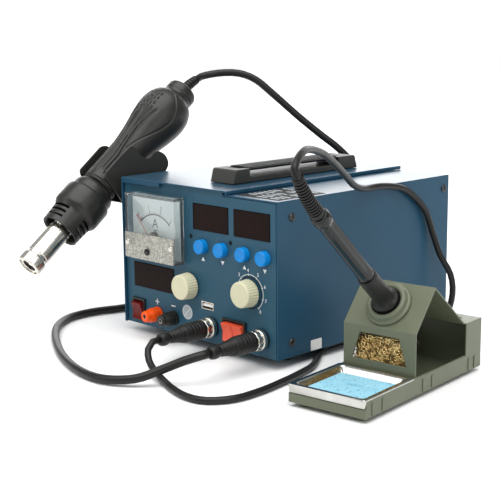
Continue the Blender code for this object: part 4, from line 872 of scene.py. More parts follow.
def lettering(name, marks, finish, face):
    """Characters standing on a face that looks forward: (text, x, z, height) each."""
    bm = bmesh.new()
    for text, x, z, height in marks:
        font = bpy.data.curves.new("mark", "FONT")
        font.body = text
        font.size = height * 1.4
        font.align_x = "CENTER"
        font.align_y = "CENTER"
        font.extrude = LETTER_HALF
        item = bpy.data.objects.new("mark", font)
        bpy.context.collection.objects.link(item)
        bpy.context.view_layer.update()
        drawn = item.evaluated_get(bpy.context.evaluated_depsgraph_get())
        mesh = bpy.data.meshes.new_from_object(drawn)
        mesh.transform(placed(STATION, (x, face - LETTER_OUT, z), tilt=90.0))
        bm.from_mesh(mesh)
        bpy.data.objects.remove(item)
        bpy.data.meshes.remove(mesh)
    mesh = bpy.data.meshes.new(name)
    bm.to_mesh(mesh)
    bm.free()
    item = bpy.data.objects.new(name, mesh)
    bpy.context.collection.objects.link(item)
    return settle(item, "station", finish)


def band(centre, inner, outer, start, end, span, steps=24):
    """A flat part of a ring, angles in degrees clockwise from straight up."""
    angles = [math.radians(start + (end - start) * i / steps) for i in range(steps + 1)]
    x, z = centre
    rim = [(x + outer * math.sin(a), z + outer * math.cos(a)) for a in angles]
    back = [(x + inner * math.sin(a), z + inner * math.cos(a)) for a in angles[::-1]]
    return prism(rim + back, *span)


def tick(centre, inner, outer, angle, width, span):
    """A straight mark that points away from a centre."""
    a = math.radians(angle)
    way = Vector((math.sin(a), math.cos(a)))
    side = Vector((math.cos(a), -math.sin(a))) * width / 2
    near_end, far_end = Vector(centre) + way * inner, Vector(centre) + way * outer
    corners = [near_end - side, far_end - side, far_end + side, near_end + side]
    return prism([tuple(c) for c in corners], *span)


print("print stands out by", -PRINT[0], "mm")

# %% Marks of the buttons, the knobs and the terminals
BUTTONS = {
    "button_iron_up": ((102.4, 80.9), 1.0),
    "button_iron_down": ((125.9, 80.9), -1.0),
    "button_air_up": ((151.3, 80.9), 1.0),
    "button_air_down": ((174.2, 80.9), -1.0),
}
arrows = []
for (x, z), way in BUTTONS.values():
    base = z - 10.6 - way * 1.5
    arrows.append(prism([(x - 2.0, base), (x + 2.0, base), (x, base + way * 3.4)], *PRINT))
make("button_arrows", arrows, "station", "print_white")

AIR_KNOB, VOLTAGE_KNOB = (157.5, 50.6), (85.7, 45.4)
AIR_START, AIR_STEP, AIR_COUNT, NUMBER_RADIUS = -118.0, 37.0, 8, 18.0
air_steps = [AIR_START + AIR_STEP * i for i in range(AIR_COUNT)]
air_marks = [band(AIR_KNOB, 14.5, 14.95, AIR_START, air_steps[-1], PRINT, 72)]
air_marks += [tick(AIR_KNOB, 13.6, 15.6, angle, 0.5, PRINT) for angle in air_steps]
make("air_scale", air_marks, "station", "print_white")
numbers = []
for i, angle in enumerate(air_steps):
    a = math.radians(angle)
    x, z = AIR_KNOB[0] + NUMBER_RADIUS * math.sin(a), AIR_KNOB[1] + NUMBER_RADIUS * math.cos(a)
    numbers.append((str(i + 1), x, z, 2.9))
lettering("air_numbers", numbers, "print_white", 0.0)
signs = [box((39.6, 44.8), PRINT, (23.8, 24.7)), box((41.75, 42.65), PRINT, (21.65, 26.85))]
signs.append(box((60.8, 66.0), PRINT, (23.4, 24.3)))
make("terminal_marks", signs, "station", "print_white")
print("panel marks:", len(arrows), "arrows,", len(numbers), "numbers")

# %% Trimming holes and the round sticker
TRIM_HOLES = ((87.8, 87.8), (135.4, 88.0))
SEAL, SEAL_RING, SEAL_INK = (81.5, 21.6), 5.3, (-0.2, -0.15)
# The trimming holes are near-black discs on the panel: painted shade for the insides of the holes.
hole_shade_line = [(0.0, -0.02), (1.9, -0.02), (1.9, -0.08), (0.0, -0.08)]
make("trim_hole_shades", [turned(hole_shade_line, 20, "Y", c) for c in TRIM_HOLES], "station", "label_dark")
seal_line = eased([(0.0, -0.16), (6.2, -0.16), (6.4, -0.12), (6.4, -0.02), (0.0, -0.02)], 0.05)
make("round_sticker", [turned(seal_line, 40, "Y", SEAL)], "station", "label_grey")
seal_print = [
    turned([(SEAL_RING, -0.2), (5.6, -0.2), (5.6, -0.15), (SEAL_RING, -0.15)], 48, "Y", SEAL),
    tick(SEAL, -SEAL_RING, SEAL_RING, 45.0, 0.5, SEAL_INK),
]
make("seal_print", seal_print, "station", "label_white")
print("trimming holes:", len(TRIM_HOLES), "and a round sticker")

# %% [markdown]
# ## The panel meter
# A moving-coil meter is a clear case over a pale dial, with a metal trim plate across the foot.
# The dial's arc, ticks and numbers are thin black meshes on its face, and the needle swings
# just in front of them. The case is a hollow shell with rounded edges so that light bends in it.

# %% Meter
METER_X, METER_Z = (15.7, 79.7), (62.8, 118.8)
DIAL_FACE = -4.0
PIVOT = (47.7, 75.3)
INK = (DIAL_FACE - 0.07, DIAL_FACE - 0.01)
DIAL_START, LONG_STEP, SHORT_STEP = -42.0, 28.0, 5.6
softened("meter_case", "clear_plastic", 0.7)
softened("meter_dial", "dial_white", 0.1)
ink = [band(PIVOT, 26.1, 27.1, -45.0, 45.0, INK, 48)]
ink += [tick(PIVOT, 26.4, 30.6, DIAL_START + LONG_STEP * i, 0.75, INK) for i in range(4)]
ink += [tick(PIVOT, 26.4, 28.9, DIAL_START + SHORT_STEP * i, 0.4, INK) for i in range(16)]
ink += [box((45.4, 50.0), INK, (88.0, 88.6)), box((45.4, 50.0), INK, (86.8, 87.2))]
make("dial_scale", ink, "station", "print_black")
dial_numbers = [("A", 47.7, 94.0, 8.0)]
for i in range(4):
    a = math.radians(DIAL_START + LONG_STEP * i)
    dial_numbers.append((str(i), PIVOT[0] + 33.2 * math.sin(a), PIVOT[1] + 33.2 * math.cos(a), 3.1))
lettering("dial_numbers", dial_numbers, "print_black", DIAL_FACE)
zero = [tick(PIVOT, 29.0, 34.5, -44.5, 0.5, INK), band(PIVOT, 27.4, 28.2, -45.0, -36.0, INK, 8)]
make("dial_zero", zero, "station", "needle_red")
print("meter dial with", len(ink), "ink marks")

# %% Needle
hub = turned(eased([(0.0, -7.3), (2.4, -7.3), (3.0, -6.6), (3.0, -4.3), (0.0, -4.3)], 0.4), 24)
arm = box((-0.22, 0.22), (-6.7, -6.4), (2.0, 33.0))
pivot_place = placed(STATION, (PIVOT[0], 0.0, PIVOT[1]))
needle = pivot_place @ Matrix.Rotation(math.radians(DIAL_START), 4, "Y")
make("needle_arm", [hub, arm], "meter_needle", "needle_red", needle, ["meter_needle"])
print("the needle rests at", DIAL_START, "degrees")

# %% Trim plate and its screws
x0, x1 = METER_X
plate_z = (METER_Z[0] + 0.1, METER_Z[0] + 22.4)
plate = prism(round_rect((x0 + 0.2, x1 - 0.2), plate_z, 1.2), -12.9, -12.3)
make("trim_plate", [plate], "station", "brushed_metal", stands_for=["meter_trim"], rounding=0.2)
trim_screws = [pan_head(c, 2.3, 0.9, -12.9, "Y") for c in ((19.4, 76.3), (76.0, 76.7))]
make("trim_screws", trim_screws, "station", "nickel")
zero_line = eased([(0.0, -14.3), (2.6, -14.3), (3.0, -13.9), (3.0, -12.9), (0.0, -12.9)], 0.3)
slot = box((42.9, 48.5), (-14.42, -14.25), (70.0, 70.6))
make("zero_screw", [turned(zero_line, 28, "Y", (45.7, 70.3))], "station", "gloss_black")
make("zero_screw_slot", [slot], "station", "screw_black")
arch_angles = [math.radians(a) for a in range(0, 181, 12)]
arch = [(PIVOT[0] + 5.4 * math.cos(a), 84.4 + 2.6 * math.sin(a)) for a in arch_angles]
make("pivot_shade", [prism(arch, DIAL_FACE - 2.0, DIAL_FACE - 1.2)], "station", "label_dark")
print("trim screws:", len(trim_screws))

# %% [markdown]
# ## Windows, buttons, knobs and switches
# The windows are dark plates that only shine. The buttons are shallow caps with a soft rim, and
# the knobs are turned with fine flutes on a slightly tapered skirt. Each moving one is carried
# by its own body, so that it can be pressed or turned.

# %% Windows
for node in ("display_window_iron", "display_window_air", "display_window_supply"):
    softened(node, "smoked_window", 0.25)


LEVEL_BARS = ((0, 1), (0, 0), (0, -1))
UPRIGHT_BARS = ((-1, 0.5), (1, 0.5), (-1, -0.5), (1, -0.5))
FIGURE_WIDTH, FIGURE_HEIGHT, FIGURE_LEAN = 5.0, 11.0, 0.1
BAR_HALF, BAR_SHARE, BAR_FACE = 0.55, 0.36, (-0.66, -0.61)
WINDOWS = (((91, 94.4), (42, 21.6)), ((139.6, 94.4), (40.4, 21.6)), ((12, 34.5), (53, 21.5)))


def figure(x, z):
    """The seven unlit bars of one figure, leaning a little."""
    half = FIGURE_HEIGHT / 2
    bars = []
    for aside, up_or_down in LEVEL_BARS + UPRIGHT_BARS:
        w, h = BAR_HALF, half * BAR_SHARE
        if (aside, up_or_down) in LEVEL_BARS:
            w, h = FIGURE_WIDTH * BAR_SHARE, BAR_HALF
        cz = z + up_or_down * half
        cx = x + aside * FIGURE_WIDTH / 2 + (cz - z) * FIGURE_LEAN
        bars.append(box((cx - w, cx + w), BAR_FACE, (cz - h, cz + h)))
    return bars


unlit = []
for (x, z), (w, h) in WINDOWS:
    for k in range(3):
        unlit += figure(x + w * (0.28 + 0.22 * k), z + h / 2)
unlit_red = Finish("unlit_red")
faint = between(unlit_red, noise(unlit_red, 50.0), (0.014, 0.005, 0.004), (0.018, 0.006, 0.005))
unlit_red.set({"Base Color": faint})
unlit_red.set({"Roughness": 0.2 + noise(unlit_red, 200.0) * 0.1, "Specular IOR Level": 0.06})
FINISHES["unlit_red"] = unlit_red
make("unlit_figures", unlit, "station", "unlit_red")
print("windows with", len(unlit), "unlit bars")

# %% Buttons
CAP_LINE = [
    (0.0, -5.5), (4.3, -5.6), (4.9, -6.0), (5.4, -6.0), (6.0, -5.3), (6.1, -1.0), (6.1, 2.2), (0.0, 2.2),
]
for node, (centre, _) in BUTTONS.items():
    cap = turned(eased(CAP_LINE, 0.5), 48, "Y", centre)
    make(node + "_cap", [cap], node, "button_blue", stands_for=[node])
print("button caps:", len(BUTTONS))

# %% Knobs
FLUTES, FLUTE_DEPTH, SKIRT_END = 30, 0.6, -1.0
KNOB_LINE = [
    (0.0, -12.2), (8.4, -12.4), (9.6, -12.5), (10.5, -11.9), (11.4, SKIRT_END), (3.0, SKIRT_END),
    (3.0, 9.0), (0.0, 9.0),
]


def flute(angle, along):
    """Grooves on the knob's skirt that fade out near its front."""
    if along >= SKIRT_END:
        return 0.0
    fade = min(1.0, max(0.0, (along + 11.6) / 1.6))
    return FLUTE_DEPTH * fade * (0.5 + 0.5 * math.cos(FLUTES * angle)) ** 2


for node, centre in (("voltage_knob", VOLTAGE_KNOB), ("air_flow_knob", AIR_KNOB)):
    skirt = filled(eased(KNOB_LINE, 0.9, 4), 1.6)
    shape = turned(skirt, FLUTES * 6, "Y", centre, flute)
    make(node + "_cap", [shape], node, "cream_plastic", stands_for=[node], sharp=50.0)
    mark = [tick(centre, 5.0, 9.0, 0.0, 0.7, (-12.52, -12.3))]
    make(node + "_pointer", mark, node, "cream_plastic")
# A thin black ring on the panel round the air knob: painted shade round its skirt.
ring_shade = turned([(12.3, -0.02), (13.2, -0.02), (13.2, -0.07), (12.3, -0.07)], 64, "Y", AIR_KNOB)
make("air_knob_shade_ring", [ring_shade], "station", "print_black")
print("knobs with", FLUTES, "flutes")

# %% Switches
ROCKER_LEAN, ROCKER_PIVOT, ROCKER_FACE, ROCKER_DISH = 8.0, 2.0, -6.1, 1.8
ROCKERS = (
    ("output_rocker", "dark_red", 18.2, 13.75, 8.3),
    ("power_rocker_left", "signal_red", 133.675, 15.0, 8.5),
    ("power_rocker_right", "signal_red", 145.325, 15.0, 8.5),
)


def rocker_marks(node, x, z, half):
    """A ring on the lower half of a rocker and a bar on its upper half, on its slanting faces."""
    middle = placed(STATION, (x, ROCKER_PIVOT, z), tilt=ROCKER_LEAN)
    slope = math.degrees(math.atan2(ROCKER_DISH, half))
    upper = placed(middle, (0.0, ROCKER_FACE, half / 2), tilt=slope)
    lower = placed(middle, (0.0, ROCKER_FACE, -half / 2), tilt=-slope)
    ring = turned([(1.0, -0.06), (1.4, -0.06), (1.4, 0.02), (1.0, 0.02)], 24)
    make(node + "_ring", [ring], node, "print_white", lower)
    make(node + "_bar", [box((-0.22, 0.22), (-0.06, 0.02), (-1.6, 1.6))], node, "print_white", upper)


for node in ("output_switch_body", "power_switch_body"):
    softened(node, "black_plastic", 0.35)
for node, finish, x, z, half in ROCKERS:
    softened(node, finish, 0.45)
for node, finish, x, z, half in ROCKERS:
    rocker_marks(node, x, z, half)
print("rockers:", len(ROCKERS))

# %% Charging socket
softened("usb_socket", "nickel", 0.15)
make("usb_tongue", [box((101.2, 113.0), (0.1, 8.0), (30.6, 32.4))], "station", "label_white", rounding=0.15)
pads = [box((102.6 + 2.7 * i, 104.2 + 2.7 * i), (0.9, 6.0), (31.32, 31.42)) for i in range(4)]
make("usb_contacts", pads, "station", "brass")
print("charging socket with", len(pads), "contacts")

# %% [markdown]
# ## Terminals and plugs
# The terminals are tapered insulated caps with shallow grips round a metal socket. The plugs have
# a knurled metal coupling ring, then a rubber boot that steps down through ribs to a small bulb
# where the cord comes out. Ribs are part of the profile, so the light falls on real rings.

# %% Output terminals
TERMINALS = (("positive", 43.5, "orange_plastic"), ("negative", 64.3, "black_plastic"))
TERMINAL_Z, GRIP_FRONT = 13.6, -13.5
TERMINAL_CAP = [
    (2.0, -9.6), (2.0, -16.0), (2.4, -16.4), (4.0, -16.4), (4.8, -15.7), (5.0, -13.4), (6.2, -9.2),
    (6.2, -3.0), (2.5, -3.0), (2.5, -10.4),
]
TERMINAL_COLLAR = [
    (0.0, -10.0), (2.1, -10.0), (2.1, -2.7), (6.4, -2.7), (6.4, -0.3), (2.2, -0.3), (2.2, 8.9), (0.0, 8.9),
]


def grips(angle, along):
    """Six flats on the wide part of a terminal cap."""
    return 0.35 * max(0.0, math.cos(6.0 * angle)) if along > GRIP_FRONT else 0.0


for sign, x, finish in TERMINALS:
    node, base_node, centre = f"terminal_cap_{sign}", f"terminal_base_{sign}", (x, TERMINAL_Z)
    cap = turned(filled(eased(TERMINAL_CAP, 0.5), 0.8), 72, "Y", centre, grips)
    make(f"terminal_grip_{sign}", [cap], node, finish, stands_for=[node])
    sleeve = turned([(1.55, -16.0), (1.95, -16.0), (1.95, -10.6), (1.55, -10.6)], 24, "Y", centre)
    make(f"terminal_sleeve_{sign}", [sleeve], node, "nickel")
    collar = turned(eased(TERMINAL_COLLAR, 0.3), 40, "Y", centre)
    make(f"terminal_collar_{sign}", [collar], "station", finish, stands_for=[base_node])
print("terminals:", len(TERMINALS))


# %% Plug boots
BOOT_END, BOOT_FRONT, BOOT_STEPS = -57.0, -12.3, 150
BOOT_LINE = [
    (BOOT_END, 4.3), (-55.6, 5.2), (-53.0, 5.6), (-50.4, 5.3), (-48.8, 4.7), (-40.0, 5.7), (-33.0, 7.2),
    (-29.5, 7.9), (-18.0, 8.05), (BOOT_FRONT, 8.05),
]
BOOT_SHAFT = [(6.2, BOOT_FRONT), (6.2, -1.7), (8.2, -1.7), (8.2, -0.3), (5.6, -0.3), (5.6, 9.0), (0.0, 9.0)]
DEEP_RIBS, FINE_RIBS = (-48.5, -33.0, 2.58), (-29.0, -15.5, 3.4)


def boot_radius(y):
    """Radius of the boot without its ribs, from the bulb to the ring."""
    for (y0, r0), (y1, r1) in zip(BOOT_LINE, BOOT_LINE[1:]):
        if y <= y1:
            return r0 + (r1 - r0) * (y - y0) / (y1 - y0)
    return BOOT_LINE[-1][1]


def boot_profile():
    """The ribbed outline of a plug's boot."""
    rows = [(0.0, BOOT_END)]
    for i in range(BOOT_STEPS + 1):
        y = BOOT_END + 44.7 * i / BOOT_STEPS
        depth = 0.0
        first, last, pitch = DEEP_RIBS
        if first < y < last:
            depth = 0.85 * (0.5 - 0.5 * math.cos(math.tau * (y - first) / pitch)) ** 0.7
        first, last, pitch = FINE_RIBS
        if first < y < last:
            depth = 0.45 * max(0.0, math.cos(math.tau * (y - first) / pitch)) ** 6
        rows.append((boot_radius(y) - depth, y))
    return rows + BOOT_SHAFT


for tool, centre in PLUGS.items():
    boot = turned(boot_profile(), 48, "Y", centre)
    make(f"{tool}_boot", [boot], "station", "black_rubber", stands_for=[f"{tool}_plug"], sharp=60.0)
print("boots:", len(PLUGS))

# %% Coupling rings
NOTCHES, NOTCH_BACK, KNURLS = 10, -6.8, 60.0
RING_LINE = [
    (6.6, -12.0), (7.7, -12.0), (8.4, -11.4), (8.4, -7.0), (8.0, -6.6), (8.0, -6.2), (8.75, -5.8),
    (8.75, -2.4), (8.3, -2.0), (6.6, -2.0),
]


def castle(angle, along):
    """Wide notches round the front of a ring, and fine knurling all over it."""
    front = 0.7 * wave(angle, math.tau / NOTCHES, 0.36) if along < NOTCH_BACK else 0.0
    return front + 0.14 * (0.5 + 0.5 * math.cos(KNURLS * angle + along * 3.0))


for tool, centre in PLUGS.items():
    node = f"{tool}_plug_ring"
    ring = turned(filled(eased(RING_LINE, 0.3, 2), 0.7), 240, "Y", centre, castle)
    make(f"{tool}_ring", [ring], node, "nickel", stands_for=[node], sharp=50.0)
print("rings with", NOTCHES, "notches each")

# %% [markdown]
# ## The carrying handle
# A black moulded base runs along the top, with a thick flexible strap held between its two end
# blocks. The strap has lengthwise ribs for grip. They are cut into its outline here, which is
# simpler than adding them one by one.

# %% Handle
softened("handle_base", "handle_black", 1.6, 5)
(LEFT, RIGHT), (LOW, HIGH) = (87.0, 111.0), (139.8, 143.2)
RIBS, RIB_STEPS, GROOVE, CROWN = 7, 8, 0.9, 0.5
CHAMFER, SHOULDER = 0.8, 1.4
top = []
for i in range(RIBS * RIB_STEPS + 1):
    share = i / (RIBS * RIB_STEPS)
    x = LEFT + CHAMFER + (RIGHT - LEFT - 2 * CHAMFER) * share
    crown = CROWN * (1.0 - (2.0 * share - 1.0) ** 2)
    groove = GROOVE * (0.5 + 0.5 * math.cos(math.tau * RIBS * share)) ** 2
    top.append((x, HIGH - CROWN + crown - groove))
left_side = [(LEFT + CHAMFER, LOW), (LEFT, LOW + CHAMFER), (LEFT, HIGH - SHOULDER)]
right_side = [(RIGHT, HIGH - SHOULDER), (RIGHT, LOW + CHAMFER), (RIGHT - CHAMFER, LOW)]
outline = left_side + top + right_side
tongue = box((93.0, 105.0), (39.0, 163.0), (139.8, 141.5))
make("strap_grip", [prism(outline, 45.3, 156.7), tongue], "handle_strap", "black_rubber",
     stands_for=["handle_strap"], sharp=50.0)
print("strap with", RIBS, "ribs")

# %% [markdown]
# ## The hot-air gun
# The gun's body is a slim neck that swells to hold the fan, with a round tail cap. It is turned
# with many sides, and its surface is drawn in along the mould seams, the long finger grooves of
# the neck, the rows of vent slots and the creases between them. Each kind has a short function,
# and the deepest wins. That gives real recesses at any depth wanted.

# %% Gun body
NECK, BULB, TAIL = 16.5, 24.4, 14.6
BODY = [
    (0.0, 95.3), (NECK, 95.3), (NECK, 130.0), (16.7, 143.3), (19.3, 163.0), (22.1, 176.0), (23.9, 187.0),
    (BULB, 195.0), (23.2, 204.0), (20.0, 211.0), (15.0, 215.6), (TAIL, 217.5), (TAIL, 226.6),
    (12.9, 229.0), (0.0, 229.0),
]


def near(value, middle, half, soft):
    """1 within half of the middle, fading to 0 over a soft edge."""
    return max(0.0, min(1.0, 1.0 + (half - abs(value - middle)) / soft))


def line_at(degrees, middle, radius, half, soft):
    """1 on a lengthwise line at an angle, as wide in millimetres as it would be at a radius."""
    return near((degrees - middle) * math.radians(radius), 0.0, half, soft)


print("a line fades to", near(1.5, 0.0, 1.0, 1.0), "half a soft edge away")

# %% Grooves, slots and creases of the gun
NECK_RADIUS, GUN_SIDES = 18.0, 200
SEAMS = (90.0, 270.0)
FINGER_GROOVES = (48.0, 61.0, 74.0, 106.0, 119.0, 132.0)
SIDE_DENTS, DENT_ROWS = (40.0, 140.0), (107.0, 114.0, 121.0)
VENT_ROWS = 7


def seams(degrees):
    """The fine lines where the two halves of the body meet."""
    return max(0.35 * line_at(degrees, seam, NECK_RADIUS, 0.2, 0.35) for seam in SEAMS)


def finger_grooves(degrees, along):
    """Long grooves on the neck that draw together in their middle."""
    flow = max(0.0, min(1.0, (along - 128.0) / 55.0))
    ends = near(along, 146.0, 34.0, 6.0)
    middles = [start + (90.0 - start) * 0.25 * math.sin(flow * math.pi) for start in FINGER_GROOVES]
    return max(1.2 * ends * line_at(degrees, middle, NECK_RADIUS, 0.7, 0.7) for middle in middles)


def side_dents(degrees, along):
    """Three short dents on each side of the neck's front."""
    row = max(near(along, middle, 1.5, 0.5) for middle in DENT_ROWS)
    return max(0.8 * row * line_at(degrees, side, NECK_RADIUS, 2.4, 0.5) for side in SIDE_DENTS)


def vents(degrees, along):
    """Rows of short slots over the fan."""
    deepest = 0.0
    for row in range(VENT_ROWS):
        slots = near((along + 1.2 * row) % 6.0, 3.0, 1.7, 0.5) * near(along, 190.0, 13.0, 0.5)
        deepest = max(deepest, slots * line_at(degrees, 63.0 + row * 9.0, 24.0, 0.35, 0.45))
    return deepest


def creases(degrees, along):
    """Two curved lines that run apart round the bulb, like the edge of a leaf."""
    share = max(0.0, min(1.0, (along - 132.0) / 80.0))
    leaf = 44.0 * math.sin(math.pi * share**1.5)
    gaps = [(degrees - crease + 180.0) % 360.0 - 180.0 for crease in (50.0 - leaf, 130.0 + leaf)]
    return max(0.7 * near(along, 172.0, 38.0, 3.0) * line_at(gap, 0.0, 22.0, 0.35, 0.7) for gap in gaps)


def rings(along):
    """The groove before the tail cap and the one behind the front collar."""
    return max(0.5 * near(along, 219.5, 0.4, 0.4), 0.6 * near(along, 99.0, 0.5, 0.4))


def body_cut(angle, along):
    """How deep the gun's surface is drawn in at a place."""
    degrees = math.degrees(angle)
    lengthwise = max(seams(degrees), finger_grooves(degrees, along), side_dents(degrees, along))
    return max(lengthwise, vents(degrees, along), creases(degrees, along), rings(along))


body_line = filled(eased(BODY, 6.0, 6), 0.9)
gun_body = turned(body_line, GUN_SIDES, cut=body_cut)
make("gun_body", [gun_body], "gun", "black_plastic", GUN, ["gun_shell_left", "gun_shell_right"], sharp=60.0)
print("gun body faces:", len(gun_body[1]))

# %% [markdown]
# The shroud in front is a flared cage that keeps fingers off the hot tube. Its wall is made as a
# grid with the slots left out, then given thickness. Cutting the slots with Booleans would also
# work, but the grid keeps clean faces all round.

# %% Shroud with its slots
CAGE_LINE = [
    (17.4, 43.0), (18.0, 43.4), (18.0, 44.4), (18.0, 46.7), (18.1, 48.2), (18.2, 50.5), (18.3, 53.0),
    (18.5, 55.3), (18.7, 57.8), (18.9, 60.1), (19.4, 62.2), (20.9, 63.8), (21.8, 65.8), (22.0, 69.0),
    (22.0, 76.0), (22.0, 82.4), (21.4, 84.0), (20.0, 84.8), (19.5, 85.6), (19.5, 90.6), (18.6, 93.0),
    (17.2, 95.0),
]
CAGE_SIDES = 108
WINDOW_ROW, SLOT_ROWS = 2, (4, 6, 8)
WINDOW_COLUMNS = [*range(34, 44), *range(60, 70), *range(86, 97)]
SLOT_START, SLOT_EVERY, SLOT_WIDTH = 16, 36, 20


def is_open(row, column):
    """Whether a cell of the grid is part of a slot or window."""
    if row == WINDOW_ROW:
        return column in WINDOW_COLUMNS
    return row in SLOT_ROWS and (column - SLOT_START) % SLOT_EVERY < SLOT_WIDTH


def shroud_wall():
    """The open grid of the shroud's outer wall, with rows of slots left out."""
    verts = []
    for radius, along in CAGE_LINE:
        for k in range(CAGE_SIDES):
            angle = math.tau * k / CAGE_SIDES
            verts.append((radius * math.cos(angle), along, radius * math.sin(angle)))
    faces = []
    for i in range(len(CAGE_LINE) - 1):
        low, high = i * CAGE_SIDES, (i + 1) * CAGE_SIDES
        for k in range(CAGE_SIDES):
            j = (k + 1) % CAGE_SIDES
            if not is_open(i, k):
                faces.append((low + k, low + j, high + j, high + k))
    return verts, faces


shroud = make("gun_cage", [shroud_wall()], "gun", "black_plastic", GUN, ["gun_shroud"], sharp=45.0)
thick = shroud.modifiers.new("wall", "SOLIDIFY")
thick.thickness = 2.0 * MM
thick.offset = -1.0
edge = shroud.modifiers.new("soft edges", "BEVEL")
edge.width = 0.25 * MM
edge.segments = 2
edge.limit_method = "ANGLE"
back_ring = turned([(10.7, 81.0), (20.2, 81.0), (20.2, 83.0), (10.7, 83.0)], 48)
make("gun_cage_web", [back_ring], "gun", "black_plastic", GUN)
# A near-black sleeve inside the shroud: painted shade, the dark that shows through its slots.
cage_shade = turned([(14.4, 50.0), (15.0, 50.0), (15.0, 80.5), (14.4, 80.5)], 48)
make("gun_cage_shade_sleeve", [cage_shade], "gun", "label_dark", GUN)
print("shroud faces:", len(shroud.data.polygons))


# %% Heater tube, nozzle and what shows inside
TUBE_LINE = [
    (9.3, 0.2), (10.4, 0.2), (11.2, 1.0), (11.2, 9.4), (10.7, 10.4), (10.3, 10.9), (10.3, 12.2),
    (10.05, 12.6), (10.05, 13.4), (10.3, 13.8), (10.3, 85.8), (9.3, 85.8),
]
FINS = 3
tube = turned(eased(TUBE_LINE, 0.5), 72)
make("heater_sleeve", [tube], "gun", "nickel", GUN, ["gun_heater_tube"])
inner = turned(eased([(6.4, 1.6), (9.1, 1.2), (9.1, 3.0), (7.4, 3.6), (7.2, 9.0), (6.4, 9.0)], 0.3), 40)
fins = []
for k in range(FINS):
    turn = Matrix.Rotation(math.pi * k / FINS, 4, "Y")
    verts, faces = box((-6.6, 6.6), (3.4, 8.6), (-0.4, 0.4))
    fins.append(([tuple(turn @ Vector(v)) for v in verts], faces))
# A near-black disc closes the tube just behind the fins: painted shade for the tube's deep inside.
painted_shade_core = turned([(0.0, 8.8), (9.1, 8.8), (9.1, 9.4), (0.0, 9.4)], 32)
hub = turned(eased([(0.0, 2.6), (1.6, 2.8), (1.8, 3.4), (1.8, 8.6), (0.0, 8.6)], 0.3), 20)
make("nozzle_ring", [inner, hub], "gun", "nickel", GUN)
make("nozzle_fins", fins, "gun", "lamination", GUN)
make("nozzle_shade_disc", [painted_shade_core], "gun", "label_dark", GUN)
print("nozzle fins:", len(fins))

# %% Strain reliefs
GROOVE_STEPS, STEPS_PER_RIB, PLAIN_ENDS = (4, 5, 6), 8, (0.06, 0.97)


def ribbed_relief(axis, relief, thick_end, thin_end, ribs, depth):
    """A tapered sleeve with open ribs along its bend."""
    steps = ribs * STEPS_PER_RIB
    points = [relief_point(axis, relief, i / steps) for i in range(steps + 1)]
    radii = []
    for i in range(steps + 1):
        share = i / steps
        grooved = i % STEPS_PER_RIB in GROOVE_STEPS and PLAIN_ENDS[0] < share < PLAIN_ENDS[1]
        rib = depth if grooved else 0.0
        radii.append(thick_end + (thin_end - thick_end) * share - rib)
    return swept(points, radii, 28)


gun_sleeve = ribbed_relief("Y", GUN_RELIEF, 5.2, 4.3, 6, 0.7)
make("gun_relief", [gun_sleeve], "gun", "black_rubber", GUN, ["gun_strain_relief"])
iron_sleeve = ribbed_relief("Z", IRON_RELIEF, 5.6, 4.2, 15, 1.5)
make("iron_relief", [iron_sleeve], "iron", "black_rubber", IRON, ["iron_strain_relief"])
print("relief faces:", len(gun_sleeve[1]), "and", len(iron_sleeve[1]))

# %% [markdown]
# The gun rests in a bracket of folded sheet: a flat plate on the case's side, a floor, and two
# wings that stop it rolling out. The near wing sweeps up to a point and back down to a round
# tail. The wings are drawn in the gun's own frame, since they follow its lean.

# %% Gun bracket
SHEET, WING_IN, BRACKET_REACH = 1.5, 17.8, 26.9
WING_OUT = WING_IN + SHEET
WING_FRONT, WING_TOP, WING_BACK = 100.0, 15.3, 137.0
PLATE_FACE, PLATE_Y, PLATE_Z = -0.3, (1.0, 46.0), (103.0, 127.0)
PLATE_SCREWS = ((10.0, 115.0), (37.0, 115.0))
front_edge = [(WING_FRONT, -WING_OUT), (WING_FRONT, 11.0), (102.5, WING_TOP)]
near_rim = front_edge + [
    (120.0, WING_TOP), (138.5, 14.6), (141.5, 11.5), (141.2, 4.0), (142.6, -3.0), (146.0, -8.0),
    (150.5, -9.0), (155.0, -8.4), (160.0, -11.0), (163.0, -17.0), (163.4, -23.0), (161.0, -28.5),
    (155.0, -31.0), (147.0, -31.0), (WING_BACK, -WING_OUT),
]
far_rim = front_edge + [(134.0, WING_TOP), (140.0, 10.3), (140.0, -WING_OUT)]
wings = [
    prism(eased(near_rim, 5.0, 5), WING_IN, WING_OUT, "X"),
    prism(eased(far_rim, 3.0, 5), -WING_OUT, -WING_IN, "X"),
    box((-WING_OUT + 0.1, BRACKET_REACH), (WING_FRONT, WING_BACK), (-WING_OUT, -WING_IN)),
]
make("holder_wings", wings, "station", "black_steel", GUN, ["gun_holder"], rounding=0.35)
plate = [box((PLATE_FACE - SHEET, PLATE_FACE), PLATE_Y, PLATE_Z)]
make("holder_plate", plate, "station", "black_steel", rounding=0.35)
plate_heads = [
    ([(2 * (PLATE_FACE - SHEET) - x, y, z) for x, y, z in verts], faces)
    for verts, faces in (pan_head(spot, 3.0, 1.4, PLATE_FACE - SHEET) for spot in PLATE_SCREWS)
]
make("holder_screws", plate_heads, "station", "screw_black")
print("bracket screws:", len(plate_heads))

# %% [markdown]
# ## The soldering iron
# The iron has a matte rubber grip with a round finger guard, a gloss black handle with long
# facets, and a steel barrel with its tip. Facets are flats that catch a long highlight, so the
# handle's profile is drawn in along a few angles only.

